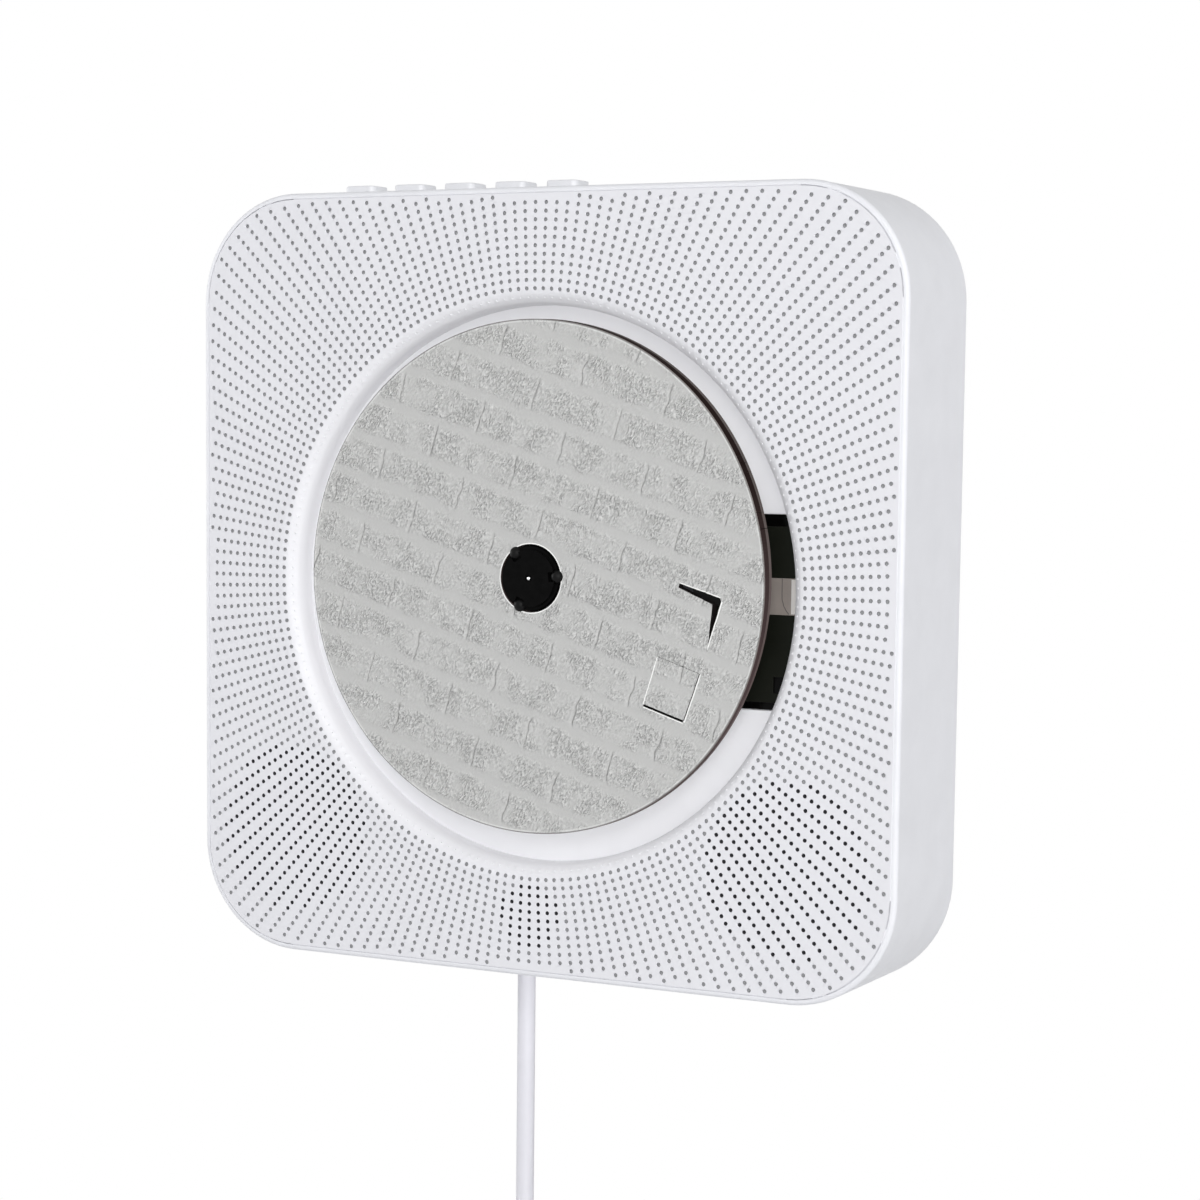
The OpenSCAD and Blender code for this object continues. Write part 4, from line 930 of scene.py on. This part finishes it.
def make_disc():
    """A fine grid in the courses' frame, cut to the round edge and then to the openings."""
    face = Surface()
    outer = []
    for x, z in circle(1, EDGE_STEPS):
        r = edge_radius(math.atan2(*rotate(x, z, COURSE_TILT)[::-1]), 0) - DISC_SOFT
        outer.append((r * x, r * z))
    count = int(DISC_R / GRID) + 1
    place = {}

    def face_point(u, v):
        key = (round(u, 4), round(v, 4))
        if key not in place:
            x, z = rotate(u, v, COURSE_TILT)
            r = math.hypot(u, v)
            edge = (smoothstep((DISC_R - RIM_FLAT - r) / RIM_FADE)
                    * smoothstep(r - DISC_HOLE_R))
            depth = -DISC_PROUD + FACE_SUNK + max(face_depth(u, v) + 2 * FACE_SUNK, 0) * edge
            place[key] = face.point(x, depth, z + SPINDLE_UP)
        return place[key]

    for i in range(-count, count):
        for j in range(-count, count):
            u, v = i * GRID, j * GRID
            out = math.hypot(u + GRID / 2, v + GRID / 2)
            if out > DISC_R + GRID:
                continue
            cell = [(u, v), (u + GRID, v), (u + GRID, v + GRID), (u, v + GRID)]
            if out > DISC_R - 2 * GRID:
                cell = clip(cell, outer)
            if cell:
                face.face([face_point(a, b) for a, b in cell])
    mesh = bpy.data.meshes.new("paper_disc_face")
    mesh.from_pydata(face.points, [], face.faces)
    for name in DISC_ATTRIBUTES:
        mesh.attributes.new(name, "FLOAT", "POINT")
    brick, joint, near, rim = (mesh.attributes[name].data for name in DISC_ATTRIBUTES)
    for i, vert in enumerate(mesh.vertices):
        x, z = vert.co.x / MM, vert.co.z / MM - SPINDLE_UP
        up, side, past, shown = brick_height(*rotate(x, z, -COURSE_TILT))
        brick[i].value, joint[i].value, near[i].value = up * side, past, shown
        rim[i].value = edge_radius(math.atan2(z, x), 0) - DISC_SOFT - math.hypot(x, z)
    bm = bmesh.new()
    bm.from_mesh(mesh)
    # painted highlights: a pale ring round the centre hole and pale bands beside the slits
    cut_out(bm, circle(DISC_HOLE_R + HOLE_HIGHLIGHT, HOLE_STEPS, 0, SPINDLE_UP), marked=CUT)
    for highlight_band in CUT_HIGHLIGHTS:
        cut_out(bm, in_part(highlight_band), marked=CUT)
    openings = [circle(DISC_HOLE_R, HOLE_STEPS, 0, SPINDLE_UP), *map(in_part, SLITS)]
    for opening in openings:
        cut_out(bm, opening)
    close_disc(bm, openings)
    for name in DISC_FINISHES:
        mesh.materials.append(FINISH[name])
    bm.to_mesh(mesh)
    bm.free()
    return finish_mesh(mesh, "embossed_disc", "disc", ["paper_disc"], sharp=40)


def in_part(outline):
    """An outline in the courses' frame, turned into the part's."""
    turned = [rotate(u, v, COURSE_TILT) for u, v in outline]
    return [(x, z + SPINDLE_UP) for x, z in turned]


def sides_of(outline):
    """The sides of an outline, run counterclockwise."""
    sides = list(zip(outline, outline[1:] + outline[:1]))
    if sum(ax * bz - bx * az for (ax, az), (bx, bz) in sides) < 0:
        return sides_of(outline[::-1])
    return sides


def holds(outline, point):
    """Whether a convex outline holds a point of the scene."""
    x, z = point.x / MM, point.z / MM
    return all((bx - ax) * (z - az) - (bz - az) * (x - ax) > 0
               for (ax, az), (bx, bz) in sides_of(outline))


def cut_out(bm, outline, marked=None):
    """Cuts a convex outline into the face and takes it out, or gives it another material."""
    cx = sum(x for x, _ in outline) / len(outline)
    cz = sum(z for _, z in outline) / len(outline)
    reach = max(math.hypot(x - cx, z - cz) for x, z in outline) + 3 * GRID
    middle = at(cx, 0, cz)
    faces = [f for f in bm.faces if (f.verts[0].co - middle).xz.length < reach * MM]
    edges = {e for f in faces for e in f.edges}
    near = list({v for e in edges for v in e.verts}) + list(edges) + faces
    for (ax, az), (bx, bz) in sides_of(outline):
        normal = Vector((bz - az, 0, ax - bx)).normalized()
        cut = bmesh.ops.bisect_plane(bm, geom=near, dist=1e-7, plane_co=at(ax, 0, az),
                                     plane_no=normal)
        near = list(dict.fromkeys([g for g in near if g.is_valid] + cut["geom"]))
    inside = [g for g in near if isinstance(g, bmesh.types.BMFace)
              and holds(outline, g.calc_center_median())]
    if marked is None:
        bmesh.ops.delete(bm, geom=inside, context="FACES")
    else:
        for f in inside:
            f.material_index = marked


DISC_SOFT = 0.15                # bevel at the face and at the back
FLARE, FLARE_AT = 0.6, math.radians(40)         # the edge spreads out behind the face here
FACE_IN, FACE_IN_AT = 0.5, math.radians(10)     # and the face is worn in here
WORN_SPAN = math.radians(60)                    # both fade out this far to either side


def edge_radius(angle, share):
    """Radius of the disc's edge, at the face for a share of 0 and at the back for 1."""
    def worn(middle):
        away = abs((angle - middle + math.pi) % (2 * math.pi) - math.pi)
        return smoothstep(1 - away / WORN_SPAN)
    face = DISC_R - FACE_IN * worn(FACE_IN_AT)
    return face + (DISC_R + FLARE * worn(FLARE_AT) - face) * share


def close_disc(bm, openings):
    """Edges of the disc: a thin pale line at the face, then the brown band, and the back.
    The fill closes the openings too, so its faces in them are taken out again."""
    centre = at(0, 0, SPINDLE_UP)

    def in_slit(radius):
        return (DISC_HOLE_R + 1) * MM < radius < (DISC_R - 2) * MM

    def pull_back(edges, depth, share, kind, soft=0.0):
        made = bmesh.ops.extrude_edge_only(bm, edges=edges)["geom"]
        for vert in (g for g in made if isinstance(g, bmesh.types.BMVert)):
            vert.co.y = at(0, depth, 0).y
            out = Vector((vert.co.x - centre.x, 0, vert.co.z - centre.z))
            if out.length > (DISC_R - 2) * MM:
                radius = edge_radius(math.atan2(out.z, out.x), share) - soft
                vert.co += out * (radius * MM / out.length - 1)
        for f in (g for g in made if isinstance(g, bmesh.types.BMFace)):
            middle = f.calc_center_median() - centre
            f.material_index = SLIT if in_slit(middle.length) else kind
        return [g for g in made if isinstance(g, bmesh.types.BMEdge) and len(g.link_faces) == 1]

    edges = [e for e in bm.edges if len(e.link_faces) == 1]
    edges = pull_back(edges, -DISC_PROUD + RIM_D, 0, RIM)
    edges = pull_back(edges, -DISC_PROUD + EDGE_SPLIT * DISC_T, EDGE_SPLIT, EDGE)
    edges = pull_back(edges, -DISC_PROUD + DISC_T - DISC_SOFT, 1, EDGE_BACK)
    edges = pull_back(edges, -DISC_PROUD + DISC_T, 1, EDGE_BACK, DISC_SOFT)
    made = bmesh.ops.triangle_fill(bm, edges=edges, use_beauty=True)["geom"]
    back = [g for g in made if isinstance(g, bmesh.types.BMFace)]
    for f in back:
        f.material_index = BACK
    bmesh.ops.delete(bm, context="FACES_ONLY", geom=[
        f for f in back if any(holds(o, f.calc_center_median()) for o in openings)])


# The buttons
BUTTON_EDGE = 0.4
EDGE_ROWS = 6


def make_button(number):
    """A button's cap with soft edges, over its flange and its foot."""
    skin = Surface()
    x0 = BUTTON_X[number]
    top = HALF + BUTTON_RISE
    flange_z = HALF - BUTTON_WALL - BUTTON_GAP
    flange_w, flange_l = BUTTON_W + 2 * FLANGE_OUT, BUTTON_L + 2 * FLANGE_OUT

    def row(w, l, r, z):
        return [skin.point(x0 + x, BUTTON_DEPTH + y, z)
                for x, y in box_outline(-w / 2, -l / 2, w / 2, l / 2, r)]

    rows = [row(FOOT_W, FOOT_W, FOOT_R, flange_z - FLANGE_T - FOOT_L),
            row(FOOT_W, FOOT_W, FOOT_R, flange_z - FLANGE_T),
            row(flange_w, flange_l, BUTTON_R, flange_z - FLANGE_T),
            row(flange_w, flange_l, BUTTON_R, flange_z),
            row(BUTTON_W, BUTTON_L, BUTTON_R, flange_z)]
    for i in range(EDGE_ROWS + 1):
        a = i / EDGE_ROWS * math.pi / 2
        inset = BUTTON_EDGE * (1 - math.cos(a))
        rows.append(row(BUTTON_W - 2 * inset, BUTTON_L - 2 * inset, BUTTON_R - 0.6 * inset,
                        top - BUTTON_EDGE + BUTTON_EDGE * math.sin(a)))
    for one, other in zip(rows, rows[1:]):
        skin.band(one, other)
    skin.face(rows[0])
    skin.face(rows[-1])
    return skin.make(f"button_cap_{number + 1}", [FINISH["button_plastic"]],
                     f"button_{number + 1}", [f"button_{number + 1}"], sharp=50)


# The bright domed end of the turntable's shaft, in the well of the hub's top
TIP_R = 0.4
TIP_RISE = 0.2                  # it starts as far under the hub's top
TIP_ROWS, TIP_SIDES = 5, 24


def make_spindle_tip():
    skin = Surface()
    rows = [[skin.point(x, -HUB_PROUD + TIP_RISE, z + SPINDLE_UP)
             for x, z in circle(TIP_R, TIP_SIDES)]]
    for i in range(TIP_ROWS):
        a = i / TIP_ROWS * math.pi / 2
        rows.append([skin.point(x, -HUB_PROUD - TIP_RISE * math.sin(a), z + SPINDLE_UP)
                     for x, z in circle(TIP_R * math.cos(a), TIP_SIDES)])
    for one, other in zip(rows, rows[1:]):
        skin.band(one, other)
    skin.face(rows[0])
    skin.face(rows[-1])
    return skin.make("spindle_tip", [SPINDLE_METAL], "turntable")


# Floor, world and lamps
FLOOR_HALF = 3.0
FLOOR_GAP = 0.002               # between the floor and the lowest point of the part
WORLD_LEVEL = 0.3


def make_stage():
    z = cad_box[0][2] - FLOOR_GAP
    mesh = bpy.data.meshes.new("floor")
    mesh.from_pydata([(x, y, z) for x, y in box_outline(-FLOOR_HALF, -FLOOR_HALF,
                                                        FLOOR_HALF, FLOOR_HALF)],
                     [], [(0, 1, 2, 3)])
    floor = new_object("floor", mesh)
    mesh.materials.append(white_to_camera("floor_white"))


def seen_directly(tree):
    """1 for camera, glossy and transmission rays, which see the plain white background."""
    path = tree.nodes.new("ShaderNodeLightPath")
    seen = path.outputs["Is Camera Ray"]
    for ray in ("Is Transmission Ray", "Is Glossy Ray"):
        either = tree.nodes.new("ShaderNodeMath")
        either.operation = "MAXIMUM"
        tree.links.new(seen, either.inputs[0])
        tree.links.new(path.outputs[ray], either.inputs[1])
        seen = either.outputs[0]
    return seen


def white_to_camera(name):
    material = bpy.data.materials.new(name)
    material.use_nodes = True
    tree = material.node_tree
    shader = tree.nodes["Principled BSDF"]
    shader.inputs["Base Color"].default_value = (0.85, 0.85, 0.86, 1)
    shader.inputs["Roughness"].default_value = 0.9
    glow = tree.nodes.new("ShaderNodeEmission")
    glow.inputs["Strength"].default_value = 1
    mix = tree.nodes.new("ShaderNodeMixShader")
    tree.links.new(seen_directly(tree), mix.inputs["Fac"])
    tree.links.new(shader.outputs[0], mix.inputs[1])
    tree.links.new(glow.outputs[0], mix.inputs[2])
    tree.links.new(mix.outputs[0], tree.nodes["Material Output"].inputs["Surface"])
    return material


def make_world():
    world = bpy.data.worlds.new("world")
    bpy.context.scene.world = world
    world.use_nodes = True
    tree = world.node_tree
    sky = tree.nodes["Background"]
    sky.inputs["Color"].default_value = (0.97, 0.98, 1.0, 1)
    sky.inputs["Strength"].default_value = WORLD_LEVEL
    plain = tree.nodes.new("ShaderNodeBackground")
    plain.inputs["Color"].default_value = (1, 1, 1, 1)
    mix = tree.nodes.new("ShaderNodeMixShader")
    tree.links.new(seen_directly(tree), mix.inputs["Fac"])
    tree.links.new(sky.outputs[0], mix.inputs[1])
    tree.links.new(plain.outputs[0], mix.inputs[2])
    tree.links.new(mix.outputs[0], tree.nodes["World Output"].inputs["Surface"])


def soft_lamp(name, place, size, power, shadow=True):
    data = bpy.data.lights.new(name, "AREA")
    data.size = size
    data.energy = power
    data.use_shadow = shadow
    lamp = new_object(name, data)
    lamp.location = place
    lamp.rotation_euler = (-Vector(place)).to_track_quat("-Z", "Y").to_euler()


lead_cable = make_lead()
lead_cable.data.materials.append(FINISH["lead_pvc"])
dress_frame()
make_front()
make_disc()
for number in range(len(BUTTON_X)):
    make_button(number)
make_deck()
make_display()
make_shade_sheet()
make_spindle_tip()
make_stage()
make_world()
soft_lamp("key_lamp", (0.7, -1.6, 0.9), size=0.8, power=6.5)
soft_lamp("fill_lamp", (1.3, -1.4, 0.3), size=1.6, power=25, shadow=False)
soft_lamp("rim_lamp", (-2.0, -0.4, 0.3), size=1.0, power=14)
